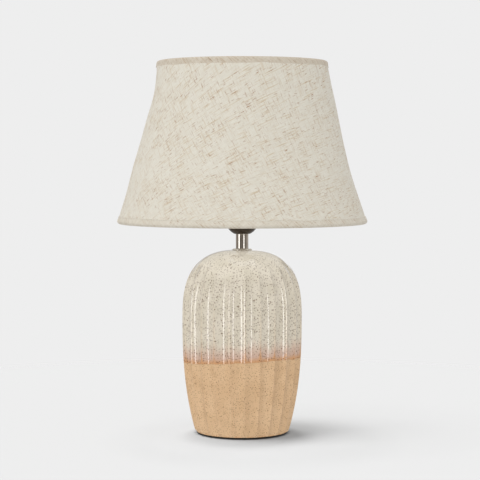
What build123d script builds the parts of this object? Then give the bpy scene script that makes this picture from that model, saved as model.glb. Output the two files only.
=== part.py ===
from build123d import *
import math
import os

# Table lamp: fluted stoneware body, bright neck, small screw lamp holder, soft cloth shade.
# Millimetres, +Z up, the origin on the lamp's axis at the level of the table.
# The front of the lamp faces -Y and the cable leaves at the back, towards +Y.

# Stoneware body
body_diameter = 120.0        # across the ridges at the widest height
body_height = 182.0          # from the foot to the small flat on the dome
belly_height = 113.0         # height of the widest place above the foot
foot_diameter = 94.4         # across the ridges at the foot
dome_power = 2.75            # how square the dome's shoulder is
taper_power = 2.5            # how late the lower part starts to taper
neck_flat_diameter = 25.0    # flat on top of the dome
flute_count = 24
flute_depth = 3.3            # from a ridge down to the middle of a flute
flute_turn = 2.4             # degrees that the first ridge lies away from the X axis
flute_fade_start = 0.45      # where the flutes start to fade, as a share of the dome's rise
flute_fade_end = 0.93        # where the dome is smooth again
flute_foot_share = 0.75      # share of the depth that is left at the foot
flute_full_height = 30.0     # height above the foot from which the depth is full
body_wall = 7.5              # from a ridge to the hollow inside
floor_thickness = 6.0        # inner floor that the base plate pulls against
floor_hole_diameter = 48.0
foot_recess = 14.0           # depth of the hollow under the floor
foot_wall = 9.0
foot_chamfer = 1.0

# Foot, base plate and cable inlet
felt_thickness = 2.0
felt_diameter = 91.0
plate_diameter = 68.0
plate_thickness = 1.5
lock_washer_thickness = 1.0
lock_washer_diameter = 18.0
lock_washer_teeth = 10
nut_across_flats = 17.0
nut_height = 4.0
cable_bore = 6.5             # clear bore for a round flexible cable
grommet_wall = 0.85
grommet_flange = 1.7         # how far the outer flange stands out round the barrel
grommet_flange_thickness = 1.6
grommet_lip = 0.8
inlet_height = 8.0           # middle of the cable inlet above the foot
inlet_flat = 0.2             # how far the flat for the grommet lies inside the flutes at the foot

# Rod and neck
rod_diameter = 10.0          # hollow rod, M10 x 1
rod_wall = 1.25
rod_end_below_nut = 2.5
rod_end_gap = 0.3            # from the rod's upper end to the top of the cap's boss
neck_tube_wall = 1.1
neck_tube_length = 14.8
neck_washer_diameter = 20.0
neck_washer_thickness = 1.5
gasket_diameter = 16.0
gasket_thickness = 1.0

# Lamp holder for a small screw cap (E14)
cap_diameter = 34.0
cap_neck_diameter = 16.2
cap_dome_extra = 0.3         # radius of the cap's round dome beyond its straight rim
cap_height = 13.7
cap_rim_depth = 5.5          # depth of the rim that takes the sleeve
cap_boss_height = 10.0
shoulder_height = 7.5        # band of the sleeve that the shade's fitter rests on
sleeve_diameter = 27.9       # over the crests of the outer thread, M28 x 2
sleeve_height = 28.0         # from the shoulder to the mouth
sleeve_wall = 1.2            # under the thread
sleeve_thread_pitch = 2.0
sleeve_thread_depth = 0.5
sleeve_thread_start = 2.0    # plain length above the shoulder and below the mouth
spigot_step = 0.15           # how much the spigot stands out from the thread's root
carrier_recess = 3.0         # contact carrier below the mouth of the sleeve
lock_screw_diameter = 3.0
lock_screw_length = 5.5
lock_screw_hex = 1.5
terminal_screw_diameter = 2.5
terminal_head_diameter = 3.6
terminal_head_height = 1.6
terminal_screw_length = 6.0
terminal_head_gap = 0.6      # under the heads, above the cap's boss
contact_width = 4.4
contact_length = 12.0
contact_thickness = 0.6
contact_height = 1.5

# Bulb with a small screw cap and an opal globe
bulb_cap_diameter = 13.5
bulb_cap_pitch = 2.822
bulb_cap_thread_depth = 0.6
bulb_cap_length = 16.0
bulb_collar_gap = 1.0        # from the contact carrier to the bulb's housing
bulb_collar_height = 2.0     # straight collar at the bottom of the housing
bulb_insulator_height = 2.5
bulb_tip_diameter = 4.6
bulb_tip_height = 1.5
bulb_globe_diameter = 45.0
bulb_globe_wall = 1.2
bulb_length = 80.0           # from the tip to the top of the globe
bulb_collar_diameter = 17.6  # housing where it meets the screw cap
bulb_seam_drop = 9.5         # seam of the globe below its widest height
board_thickness = 1.2
board_margin = 1.5           # from the board's edge to the inside of the globe
diode_count = 8
diode_size = (2.8, 3.5, 0.8)
diode_circle = 0.7           # share of the board's radius at which the diodes stand
screw_shell_wall = 0.5

# Shade
shade_bottom_diameter = 250.0
shade_top_diameter = 171.0
shade_height = 161.8
shade_drop = 10.9            # bottom edge of the shade below the holder's shoulder
shade_waist = 2.6            # how far the stretched side curves in between the rings
ring_wire = 3.0
strut_wire = 2.4
arm_wire = 2.8
strut_count = 6
strut_turn = 30.0            # degrees from the X axis to the first strut
arm_count = 3
arm_turn = 0.0               # degrees from the X axis to the first arm, between two struts
cover_thickness = 0.5
lining_thickness = 0.4
tape_thickness = 0.65
tape_height = 4.0            # straight legs of the tape beside the ring
fitter_diameter = 44.0
fitter_thickness = 1.5
arm_bend_radius = 20.0
arm_level_length = 12.0      # straight end of an arm that runs level under the fitter
ring_nut_diameter = 40.0
ring_nut_height = 7.0
ring_nut_grips = 30
ring_nut_grip_depth = 0.6

# Clearances
thread_clearance = 0.05
slip_clearance = 0.15
turn_clearance = 0.3         # between pieces that turn past each other
cloth_clearance = 0.05       # between cloth layers and the wire they lie on
screw_cap_clearance = 0.35   # round the crests of the bulb's cap

# Heights in the stack, from the table upwards
foot_level = felt_thickness
belly_level = foot_level + belly_height
body_top = foot_level + body_height
ledge_level = foot_level + foot_recess
floor_top = ledge_level + floor_thickness
plate_bottom = ledge_level - plate_thickness
lock_washer_bottom = plate_bottom - lock_washer_thickness
nut_bottom = lock_washer_bottom - nut_height
rod_bottom = nut_bottom - rod_end_below_nut
inlet_level = foot_level + inlet_height
neck_washer_top = body_top + neck_washer_thickness
neck_tube_top = neck_washer_top + neck_tube_length
cap_bottom = neck_tube_top
cap_top = cap_bottom + cap_height
cap_floor = cap_top - cap_rim_depth
boss_top = cap_bottom + cap_boss_height
rod_top = boss_top - rod_end_gap
shoulder_level = cap_top + shoulder_height
sleeve_top = shoulder_level + sleeve_height
fitter_top = shoulder_level + fitter_thickness
ring_nut_top = fitter_top + ring_nut_height

# Radii that follow from the sizes above
body_radius = body_diameter / 2
foot_radius = foot_diameter / 2
neck_flat_radius = neck_flat_diameter / 2
dome_rise = body_top - belly_level
dome_bend = 2 / dome_power
recess_radius = foot_radius - foot_wall
rod_radius = rod_diameter / 2
rod_hole_radius = rod_radius + turn_clearance
neck_tube_inner = rod_radius + turn_clearance
neck_tube_radius = neck_tube_inner + neck_tube_wall
cap_radius = cap_diameter / 2
cap_ball_radius = cap_radius + cap_dome_extra
cap_ball_level = cap_bottom + math.sqrt(cap_ball_radius ** 2 - (cap_neck_diameter / 2) ** 2)
sleeve_crest = sleeve_diameter / 2
sleeve_root = sleeve_crest - sleeve_thread_depth
sleeve_bore = sleeve_root - sleeve_wall
spigot_radius = sleeve_root + spigot_step
cap_bore = spigot_radius + slip_clearance
carrier_radius = sleeve_bore - slip_clearance
carrier_top = sleeve_top - carrier_recess
carrier_bottom = boss_top + terminal_head_height + terminal_head_gap
terminal_circle = carrier_radius - terminal_head_diameter / 2
bulb_cap_radius = bulb_cap_diameter / 2
screw_shell_inner = bulb_cap_radius + screw_cap_clearance
screw_shell_outer = screw_shell_inner + screw_shell_wall
bulb_cap_top = carrier_top + bulb_collar_gap
bulb_cap_bottom = bulb_cap_top - bulb_cap_length
bulb_insulator_bottom = bulb_cap_bottom - bulb_insulator_height
bulb_tip_bottom = bulb_insulator_bottom - bulb_tip_height
contact_floor = bulb_tip_bottom - contact_height
globe_radius = bulb_globe_diameter / 2
globe_level = bulb_tip_bottom + bulb_length - globe_radius
seam_level = globe_level - bulb_seam_drop
seam_radius = math.sqrt(globe_radius ** 2 - bulb_seam_drop ** 2)
board_radius = seam_radius - bulb_globe_wall - board_margin

# Shade frame: the two ring centres as radius and height, with the cloth wrapped round both rings
ring_radius = ring_wire / 2
cover_inner = ring_radius + cloth_clearance
cover_outer = cover_inner + cover_thickness
lining_outer = ring_radius + cloth_clearance
lining_inner = lining_outer + lining_thickness
tape_inner = cover_outer + cloth_clearance
tape_outer = tape_inner + tape_thickness
shade_bottom = shoulder_level - shade_drop
bottom_ring_centre = (shade_bottom_diameter / 2 - tape_outer, shade_bottom + tape_outer)
top_ring_centre = (shade_top_diameter / 2 - tape_outer, shade_bottom + shade_height - tape_outer)
side_run = bottom_ring_centre[0] - top_ring_centre[0]
side_rise = top_ring_centre[1] - bottom_ring_centre[1]
side_length = math.hypot(side_run, side_rise)
side_lean = math.atan2(side_run, side_rise)
side_curl = 2 * math.atan2(2 * shade_waist, side_length)
side_middle = (
    (bottom_ring_centre[0] + top_ring_centre[0]) / 2 - shade_waist * math.cos(side_lean),
    (bottom_ring_centre[1] + top_ring_centre[1]) / 2 - shade_waist * math.sin(side_lean),
)
bottom_lean = side_lean + side_curl
top_lean = side_lean - side_curl
arm_level = shoulder_level - arm_wire / 2
arm_inner_end = cap_radius + 2 * turn_clearance
STANDING = (Align.CENTER, Align.CENTER, Align.MIN)


def standing(radius, bottom, top):
    """Plain cylinder on the lamp's axis between two heights."""
    return Pos(0, 0, bottom) * Cylinder(radius, top - bottom, align=STANDING)


def sleeve_solid(outer_radius, inner_radius, bottom, top):
    """Plain ring or tube on the lamp's axis between two heights."""
    return standing(outer_radius, bottom, top) - standing(inner_radius, bottom - 1, top + 1)


def turned(*edges):
    """Solid of revolution about the lamp's axis from a closed outline of radius and height."""
    outline = Curve() + list(edges)
    return revolve(make_face(Plane.XZ * outline), Axis.Z)


def turned_polygon(*points):
    """Solid of revolution from a closed outline with straight sides only."""
    return turned(Polyline(*points, close=True))


def rim_edges(solid, radius):
    """Circular edges of a solid that have a given radius."""
    circles = solid.edges().filter_by(GeomType.CIRCLE)
    return [edge for edge in circles if abs(edge.radius - radius) < 0.001]


def polar(radius, degrees):
    """Point in the plan view at a radius and an angle."""
    angle = math.radians(degrees)
    return (radius * math.cos(angle), radius * math.sin(angle))


def taper_radius(level, widest, narrowest):
    """Radius of the body's lower part at a height."""
    share = (belly_level - level) / belly_height
    return widest - (widest - narrowest) * share ** taper_power


def dome_point(widest, rise, angle):
    """Radius and height on the dome at a running angle from the belly to the top."""
    radius = widest * math.cos(angle) ** dome_bend
    return (radius, belly_level + rise * math.sin(angle) ** dome_bend)


def dome_end_angle(widest, end_radius):
    """Running angle at which the dome has closed in to a radius."""
    return math.acos((end_radius / widest) ** (1 / dome_bend))


def body_levels(widest, narrowest, rise, end_radius, start_level, taper_steps, dome_steps):
    """Radius and height pairs up the body, from a starting height to the flat on top."""
    pairs = []
    for step in range(taper_steps):
        level = start_level + (belly_level - start_level) * step / taper_steps
        pairs.append((taper_radius(level, widest, narrowest), level))
    end_angle = dome_end_angle(widest, end_radius)
    full_rise = rise / math.sin(end_angle) ** dome_bend
    for step in range(dome_steps + 1):
        pairs.append(dome_point(widest, full_rise, end_angle * step / dome_steps))
    return pairs


def flute_depth_at(level):
    """Depth of the flutes: less at the foot, full on the side, gone near the top."""
    fade_start = belly_level + dome_rise * flute_fade_start
    fade_end = belly_level + dome_rise * flute_fade_end
    fade = min(max((level - fade_start) / (fade_end - fade_start), 0), 1)
    upper = 1 - fade * fade * (3 - 2 * fade)
    growth = (1 - flute_foot_share) * (level - foot_level) / flute_full_height
    lower = min(flute_foot_share + growth, 1)
    return flute_depth * upper * lower


def fluted_section(radius, level):
    """Level section of the body, one hollow arc for each flute."""
    pitch = 360 / flute_count
    depth = flute_depth_at(level)
    arcs = Curve()
    for index in range(flute_count):
        start = flute_turn + index * pitch
        ridge = polar(radius, start)
        hollow = polar(radius - depth, start + pitch / 2)
        next_ridge = polar(radius, start + pitch)
        arcs += ThreePointArc(ridge, hollow, next_ridge)
    return Pos(0, 0, level) * make_face(arcs)


def body_cavity():
    """Hollow inside the body, from the floor to the underside of the dome."""
    widest = body_radius - body_wall
    narrowest = foot_radius - body_wall
    rise = dome_rise - body_wall
    pairs = body_levels(widest, narrowest, rise, neck_flat_radius, floor_top, 4, 7)
    top_level = pairs[-1][1]
    side = Spline(*pairs)
    rest = Polyline(pairs[-1], (0, top_level), (0, floor_top), pairs[0])
    return turned(side, rest)


def inlet_axis(depth_from_axis):
    """Place of the cable inlet at a distance behind the lamp's axis, looking out."""
    return Plane((0, depth_from_axis, inlet_level), x_dir=(1, 0, 0), z_dir=(0, 1, 0))


grommet_barrel_radius = cable_bore / 2 + grommet_wall
grommet_flange_radius = grommet_barrel_radius + grommet_flange
grommet_lip_radius = grommet_barrel_radius + grommet_lip
inlet_face = foot_radius - flute_depth * flute_foot_share - inlet_flat
lip_face = math.sqrt(recess_radius ** 2 - grommet_lip_radius ** 2) - turn_clearance


def stoneware_body():
    """Fluted hollow body with a recessed foot, a neck hole and the cable hole."""
    pairs = body_levels(body_radius, foot_radius, dome_rise, neck_flat_radius, foot_level, 6, 10)
    body = loft([fluted_section(radius, level) for radius, level in pairs])
    body -= turned_polygon(
        (foot_radius - foot_chamfer, foot_level),
        (foot_radius + foot_chamfer, foot_level),
        (foot_radius + foot_chamfer, foot_level + 2 * foot_chamfer),
    )
    body -= body_cavity()
    body -= standing(recess_radius, foot_level - 1, ledge_level)
    body -= standing(floor_hole_diameter / 2, ledge_level - 1, floor_top + 1)
    body -= standing(rod_hole_radius, floor_top + 1, body_top + 1)
    seat_radius = gasket_diameter / 2 + slip_clearance
    body -= standing(seat_radius, body_top - gasket_thickness, body_top + 1)
    hole = Cylinder(grommet_barrel_radius + slip_clearance, foot_diameter, align=STANDING)
    body -= inlet_axis(recess_radius / 2) * hole
    spot = Cylinder(grommet_flange_radius + turn_clearance, foot_diameter, align=STANDING)
    body -= inlet_axis(inlet_face) * spot
    return body


def felt_pad():
    """Black pad under the foot."""
    pad = standing(felt_diameter / 2, 0, felt_thickness)
    return chamfer(pad.edges().group_by(Axis.Z)[0], 0.4)


def base_plate():
    """Steel disc that pulls against the floor of the body."""
    plate = sleeve_solid(plate_diameter / 2, rod_hole_radius, plate_bottom, ledge_level)
    return fillet(rim_edges(plate, plate_diameter / 2), plate_thickness * 0.3)


def lock_washer():
    """Washer with teeth round its edge, under the base plate."""
    outer = lock_washer_diameter / 2
    washer = sleeve_solid(outer, rod_hole_radius, lock_washer_bottom, plate_bottom)
    notch = Box(outer * 0.3, outer * 0.18, 3 * lock_washer_thickness)
    for index in range(lock_washer_teeth):
        turn = Rot(0, 0, index * 360 / lock_washer_teeth)
        washer -= turn * Pos(outer, 0, lock_washer_bottom) * notch
    return washer


def bottom_nut():
    """Hexagon nut on the lower end of the rod."""
    blank = RegularPolygon(nut_across_flats / 2, 6, major_radius=False)
    nut = Pos(0, 0, nut_bottom) * extrude(blank, nut_height)
    corner = nut_across_flats / math.sqrt(3)
    rounding = turned_polygon(
        (0, nut_bottom),
        (nut_across_flats / 2, nut_bottom),
        (corner + 0.1, nut_bottom + nut_height * 0.3),
        (corner + 0.1, lock_washer_bottom),
        (0, lock_washer_bottom),
    )
    bore = standing(rod_radius + thread_clearance, nut_bottom - 1, lock_washer_bottom + 1)
    return (nut & rounding) - bore


def hollow_rod():
    """Hollow rod from the nut up into the holder's cap."""
    rod = sleeve_solid(rod_radius, rod_radius - rod_wall, rod_bottom, rod_top)
    return chamfer(rim_edges(rod, rod_radius), rod_wall * 0.4)


def cable_grommet():
    """Rubber sleeve in the cable hole, with a flange outside and a lip inside."""
    flange_end = inlet_face + grommet_flange_thickness
    lip_end = lip_face - grommet_flange_thickness
    barrel = Cylinder(grommet_barrel_radius, inlet_face - lip_face, align=STANDING)
    flange = Cylinder(grommet_flange_radius, grommet_flange_thickness, align=STANDING)
    flange = fillet(flange.edges().group_by(Axis.Z)[-1], grommet_flange_thickness * 0.5)
    lip = Cylinder(grommet_lip_radius, grommet_flange_thickness, align=STANDING)
    bore = Cylinder(cable_bore / 2, flange_end - lip_end + 2, align=STANDING)
    grommet = inlet_axis(lip_face) * barrel
    grommet += inlet_axis(inlet_face) * flange
    grommet += inlet_axis(lip_end) * lip
    return grommet - inlet_axis(lip_end - 1) * bore


def neck_gasket():
    """Rubber ring set into the top of the body."""
    bottom = body_top - gasket_thickness
    return sleeve_solid(gasket_diameter / 2, rod_hole_radius, bottom, body_top)


def neck_washer():
    """Bright washer with a sloping edge, under the neck tube."""
    outer = neck_washer_diameter / 2
    return turned_polygon(
        (rod_hole_radius, body_top),
        (outer, body_top),
        (outer, body_top + neck_washer_thickness * 0.35),
        (outer - neck_washer_thickness, neck_washer_top),
        (rod_hole_radius, neck_washer_top),
    )


def neck_tube():
    """Plain bright tube between the neck washer and the holder."""
    return sleeve_solid(neck_tube_radius, neck_tube_inner, neck_washer_top, neck_tube_top)


def lock_screw_axis(distance):
    """Place of the grub screw behind the lamp's axis, looking out."""
    level = (cap_bottom + boss_top) / 2 - 0.5
    return Plane((0, distance, level), x_dir=(1, 0, 0), z_dir=(0, 1, 0))


def holder_cap():
    """Domed cap of the lamp holder, screwed on the rod."""
    neck = cap_neck_diameter / 2
    rim_level = cap_ball_level - math.sqrt(cap_ball_radius ** 2 - cap_radius ** 2)
    lean = (neck + cap_radius) / 2
    waist_level = cap_ball_level - math.sqrt(cap_ball_radius ** 2 - lean ** 2)
    dome = ThreePointArc((neck, cap_bottom), (lean, waist_level), (cap_radius, rim_level))
    rest = Polyline(
        (cap_radius, rim_level),
        (cap_radius, cap_top),
        (cap_bore, cap_top),
        (cap_bore, cap_floor),
        (neck, cap_floor),
        (neck, boss_top),
        (rod_radius + thread_clearance, boss_top),
        (rod_radius + thread_clearance, cap_bottom),
        (neck, cap_bottom),
    )
    cap = turned(dome, rest)
    screw_radius = lock_screw_diameter / 2 + thread_clearance
    return cap - lock_screw_axis(rod_radius) * Cylinder(screw_radius, cap_diameter, align=STANDING)


def rod_lock_screw():
    """Grub screw with a hexagon socket that locks the rod in the cap."""
    screw = Cylinder(lock_screw_diameter / 2, lock_screw_length, align=STANDING)
    screw = chamfer(screw.edges().group_by(Axis.Z)[0], lock_screw_diameter * 0.15)
    socket = extrude(RegularPolygon(lock_screw_hex / 2, 6, major_radius=False), 2.0)
    screw -= Pos(0, 0, lock_screw_length - 2.0) * socket
    return lock_screw_axis(rod_radius + thread_clearance) * screw


def terminal_place(index):
    """Place of one terminal screw, its head under the contact carrier."""
    return Rot(0, 0, 180 * index) * Pos(terminal_circle, 0, carrier_bottom)


def contact_carrier():
    """Insulating insert that holds the contacts inside the holder."""
    carrier = standing(carrier_radius, carrier_bottom, carrier_top)
    shell_seat = screw_shell_outer + slip_clearance
    carrier -= standing(shell_seat, bulb_tip_bottom, carrier_top + 1)
    pocket = Box(contact_length + 2 * slip_clearance, contact_width + 2 * slip_clearance,
                 contact_height + 1, align=STANDING)
    carrier -= Pos(0, 0, contact_floor) * pocket
    hole = Cylinder(terminal_screw_diameter / 2 + thread_clearance, terminal_screw_length + 1,
                    align=STANDING)
    for index in range(2):
        carrier -= terminal_place(index) * hole
    return carrier


def terminal_screws():
    """The two terminal screws, each with a slotted head."""
    shank = Cylinder(terminal_screw_diameter / 2, terminal_screw_length, align=STANDING)
    head = Cylinder(terminal_head_diameter / 2, terminal_head_height, align=STANDING)
    slot = Box(terminal_head_diameter * 2, 0.6, 1.2)
    screw = shank + Pos(0, 0, -terminal_head_height) * (head - slot)
    return Compound(children=[terminal_place(index) * screw for index in range(2)])


def centre_contact():
    """Sprung strip with a raised middle that meets the bulb's tip."""
    strip = Box(contact_length, contact_width, contact_thickness, align=STANDING)
    rise = contact_height - contact_thickness
    button = Cone(contact_width * 0.48, contact_width * 0.36, rise, align=STANDING)
    contact = strip + Pos(0, 0, contact_thickness) * button
    return Pos(0, 0, contact_floor) * contact


def screw_shell():
    """Brass shell that takes the bulb's screw cap."""
    bottom = bulb_tip_bottom
    shell = sleeve_solid(screw_shell_outer, screw_shell_inner, bottom, carrier_top - 0.5)
    floor = sleeve_solid(screw_shell_inner, bulb_tip_diameter, bottom, bottom + screw_shell_wall)
    return shell + floor


def holder_sleeve():
    """Sleeve with a spigot in the cap, a shoulder for the shade and an outer thread."""
    points = [
        (sleeve_bore, cap_floor + slip_clearance),
        (spigot_radius, cap_floor + slip_clearance),
        (spigot_radius, cap_top),
        (cap_radius, cap_top),
        (cap_radius, shoulder_level),
        (sleeve_root, shoulder_level),
    ]
    turns = int((sleeve_height - 2 * sleeve_thread_start) / sleeve_thread_pitch)
    for index in range(turns):
        start = shoulder_level + sleeve_thread_start + index * sleeve_thread_pitch
        points.append((sleeve_root, start))
        points.append((sleeve_crest, start + sleeve_thread_pitch * 0.4))
        points.append((sleeve_crest, start + sleeve_thread_pitch * 0.6))
        points.append((sleeve_root, start + sleeve_thread_pitch * 0.98))
    points.append((sleeve_root, sleeve_top))
    points.append((sleeve_bore, sleeve_top))
    return turned_polygon(*points)


def shade_ring():
    """Ring nut that clamps the shade on the shoulder, with grips round its edge."""
    outer = ring_nut_diameter / 2
    outline = Circle(outer) - Circle(sleeve_crest + turn_clearance)
    for index in range(ring_nut_grips):
        turn = Rot(0, 0, index * 360 / ring_nut_grips)
        outline -= turn * Pos(outer + ring_nut_grip_depth, 0) * Circle(2 * ring_nut_grip_depth)
    return Pos(0, 0, fitter_top) * extrude(outline, ring_nut_height)


def bulb_tip():
    """Solder contact at the very bottom of the bulb."""
    radius = bulb_tip_diameter / 2
    return turned_polygon(
        (0, bulb_tip_bottom),
        (radius * 0.6, bulb_tip_bottom),
        (radius, bulb_tip_bottom + bulb_tip_height * 0.5),
        (radius, bulb_insulator_bottom),
        (0, bulb_insulator_bottom),
    )


def bulb_insulator():
    """Black insulating cone between the tip and the screw cap."""
    return turned_polygon(
        (0, bulb_insulator_bottom),
        (bulb_tip_diameter / 2 + 0.6, bulb_insulator_bottom),
        (bulb_cap_radius - 2 * bulb_cap_thread_depth, bulb_cap_bottom),
        (0, bulb_cap_bottom),
    )


def bulb_screw_cap():
    """Screw cap of the bulb, its rounded thread shown as rings."""
    root = bulb_cap_radius - bulb_cap_thread_depth
    points = [(0, bulb_cap_bottom), (root - 0.4, bulb_cap_bottom), (root, bulb_cap_bottom + 0.4)]
    for index in range(int((bulb_cap_length - 3) / bulb_cap_pitch)):
        start = bulb_cap_bottom + 1.0 + index * bulb_cap_pitch
        points.append((root, start))
        points.append((bulb_cap_radius, start + bulb_cap_pitch * 0.35))
        points.append((bulb_cap_radius, start + bulb_cap_pitch * 0.65))
        points.append((root, start + bulb_cap_pitch * 0.98))
    points.append((root, bulb_cap_top))
    points.append((0, bulb_cap_top))
    return turned_polygon(*points)


def bulb_housing():
    """White flared housing between the screw cap and the globe."""
    collar = bulb_collar_diameter / 2
    flare_level = (bulb_cap_top + seam_level) / 2
    flare_radius = collar + (seam_radius - collar) * 0.42
    collar_top = bulb_cap_top + bulb_collar_height
    side = ThreePointArc((collar, collar_top), (flare_radius, flare_level),
                         (seam_radius, seam_level))
    rest = Polyline((seam_radius, seam_level), (0, seam_level), (0, bulb_cap_top),
                    (collar, bulb_cap_top), (collar, collar_top))
    return turned(side, rest)


def bulb_board():
    """Round board with its light-emitting diodes, inside the globe."""
    board = standing(board_radius, seam_level, seam_level + board_thickness)
    diode = Box(*diode_size, align=STANDING)
    for index in range(diode_count):
        turn = Rot(0, 0, index * 360 / diode_count)
        board += turn * Pos(board_radius * diode_circle, 0, seam_level + board_thickness) * diode
    return board


def bulb_globe():
    """Opal globe, a thin shell that stands on the housing."""
    ball = Sphere(globe_radius) - Sphere(globe_radius - bulb_globe_wall)
    below = Pos(0, 0, -bulb_seam_drop) * Box(
        bulb_globe_diameter * 2, bulb_globe_diameter * 2, bulb_globe_diameter,
        align=(Align.CENTER, Align.CENTER, Align.MAX))
    return Pos(0, 0, globe_level) * (ball - below)


def wire_ring(centre):
    """Closed wire ring of the shade frame."""
    return Pos(0, 0, centre[1]) * Torus(centre[0], ring_radius)


def side_line(offset):
    """Line of the shade's side as radius and height, moved out by an offset across the cloth."""
    places = ((bottom_ring_centre, bottom_lean), (side_middle, side_lean), (top_ring_centre, top_lean))
    moved = []
    for (radius, level), lean in places:
        moved.append((radius + offset * math.cos(lean), level + offset * math.sin(lean)))
    return ThreePointArc(*moved)


def cloth_layer(inner_offset, outer_offset, bottom_trim, top_trim):
    """Layer of cloth between two offsets from the frame line, cut level at both ends."""
    inner = side_line(inner_offset)
    outer = side_line(outer_offset)
    closing = Line(inner @ 1, outer @ 1) + Line(inner @ 0, outer @ 0)
    layer = turned(inner, outer, *closing.edges())
    radius = shade_bottom_diameter
    low = bottom_ring_centre[1] + bottom_trim
    high = top_ring_centre[1] - top_trim
    return layer & standing(radius, low, high)


def wrapped_tape(centre, lean, upward):
    """Tape folded over a ring: a round back with a leg on each side of the cloth."""
    out = (math.cos(lean), math.sin(lean))
    along = (-math.sin(lean) * upward, math.cos(lean) * upward)

    def place(across, up):
        return (centre[0] + across * out[0] + up * along[0],
                centre[1] + across * out[1] + up * along[1])

    outer_leg = Polyline(place(tape_inner, 0), place(tape_inner, tape_height),
                         place(tape_outer, tape_height), place(tape_outer, 0))
    back = ThreePointArc(place(tape_outer, 0), place(0, -tape_outer), place(-tape_outer, 0))
    inner_leg = Polyline(place(-tape_outer, 0), place(-tape_outer, tape_height),
                         place(-tape_inner, tape_height), place(-tape_inner, 0))
    fold = ThreePointArc(place(-tape_inner, 0), place(0, -tape_inner), place(tape_inner, 0))
    return turned(*outer_leg.edges(), back, *inner_leg.edges(), fold)


def frame_strut(index):
    """Bent wire from ring to ring, coped on both rings."""
    line = Plane.XZ * side_line(0)
    profile = Plane(line @ 0, z_dir=line % 0) * Circle(strut_wire / 2)
    strut = sweep(profile, path=line) - wire_ring(bottom_ring_centre) - wire_ring(top_ring_centre)
    return Rot(0, 0, strut_turn + index * 360 / strut_count) * strut


def arm_wire_solid(index, radius):
    """Wire along the line of one fitter arm, with a radius of its own."""
    level_start = fitter_diameter / 2 + arm_level_length
    line = FilletPolyline(bottom_ring_centre, (level_start, arm_level), (arm_inner_end, arm_level),
                          radius=arm_bend_radius)
    line = Plane.XZ * line
    profile = Plane(line @ 0, z_dir=line % 0) * Circle(radius)
    return Rot(0, 0, arm_turn + index * 360 / arm_count) * sweep(profile, path=line)


def fitter_arm(index):
    """Wire arm from the bottom ring to the underside of the fitter ring."""
    return arm_wire_solid(index, arm_wire / 2) - wire_ring(bottom_ring_centre)


def fitter_ring():
    """Flat ring that rests on the holder's shoulder."""
    inner = sleeve_crest + turn_clearance
    return sleeve_solid(fitter_diameter / 2, inner, shoulder_level, fitter_top)


def bottom_tape():
    """Tape round the bottom edge, with a notch for each fitter arm."""
    tape = wrapped_tape(bottom_ring_centre, bottom_lean, 1)
    for index in range(arm_count):
        tape -= arm_wire_solid(index, arm_wire / 2 + turn_clearance)
    return tape


def top_tape():
    """Tape round the top edge."""
    return wrapped_tape(top_ring_centre, top_lean, -1)


pieces = {
    "stoneware_body": stoneware_body(),
    "felt_pad": felt_pad(),
    "base_plate": base_plate(),
    "lock_washer": lock_washer(),
    "bottom_nut": bottom_nut(),
    "hollow_rod": hollow_rod(),
    "cable_grommet": cable_grommet(),
    "neck_gasket": neck_gasket(),
    "neck_washer": neck_washer(),
    "neck_tube": neck_tube(),
    "holder_cap": holder_cap(),
    "rod_lock_screw": rod_lock_screw(),
    "contact_carrier": contact_carrier(),
    "terminal_screws": terminal_screws(),
    "centre_contact": centre_contact(),
    "screw_shell": screw_shell(),
    "holder_sleeve": holder_sleeve(),
    "shade_ring": shade_ring(),
    "bulb_tip": bulb_tip(),
    "bulb_insulator": bulb_insulator(),
    "bulb_screw_cap": bulb_screw_cap(),
    "bulb_housing": bulb_housing(),
    "bulb_board": bulb_board(),
    "bulb_globe": bulb_globe(),
    "bottom_ring": wire_ring(bottom_ring_centre),
    "top_ring": wire_ring(top_ring_centre),
    "fitter_ring": fitter_ring(),
    "shade_cover": cloth_layer(cover_inner, cover_outer, ring_radius / 2, 0),
    "shade_lining": cloth_layer(-lining_inner, -lining_outer, ring_wire, ring_wire),
    "bottom_tape": bottom_tape(),
    "top_tape": top_tape(),
}
for index in range(strut_count):
    pieces[f"frame_strut_{index + 1}"] = frame_strut(index)
for index in range(arm_count):
    pieces[f"fitter_arm_{index + 1}"] = fitter_arm(index)

os.makedirs("parts", exist_ok=True)
for name, piece in pieces.items():
    export_step(piece, f"parts/{name}.step")
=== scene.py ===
"""Visual model of a table lamp: fluted, half-glazed stoneware with a soft linen shade.

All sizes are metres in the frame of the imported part: +Z up, the table at z = 0, the front towards -Y.
"""

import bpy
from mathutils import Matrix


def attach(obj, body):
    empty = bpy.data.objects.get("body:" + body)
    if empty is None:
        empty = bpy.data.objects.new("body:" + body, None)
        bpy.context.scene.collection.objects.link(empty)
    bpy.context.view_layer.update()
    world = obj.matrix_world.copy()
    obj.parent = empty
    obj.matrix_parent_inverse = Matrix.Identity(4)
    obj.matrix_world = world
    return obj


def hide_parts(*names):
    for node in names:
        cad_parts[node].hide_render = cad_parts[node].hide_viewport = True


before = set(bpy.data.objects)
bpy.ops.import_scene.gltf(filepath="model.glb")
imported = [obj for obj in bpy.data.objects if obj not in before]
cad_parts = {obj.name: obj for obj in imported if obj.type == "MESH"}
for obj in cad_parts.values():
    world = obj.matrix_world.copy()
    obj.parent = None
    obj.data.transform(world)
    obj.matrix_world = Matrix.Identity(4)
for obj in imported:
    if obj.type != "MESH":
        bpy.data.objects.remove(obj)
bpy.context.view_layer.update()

import logging
import math
from collections.abc import Callable, Sequence
from dataclasses import dataclass
from enum import Enum

import bmesh
import bpy
import numpy as np
from mathutils import Matrix

log = logging.getLogger("table_lamp")

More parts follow.
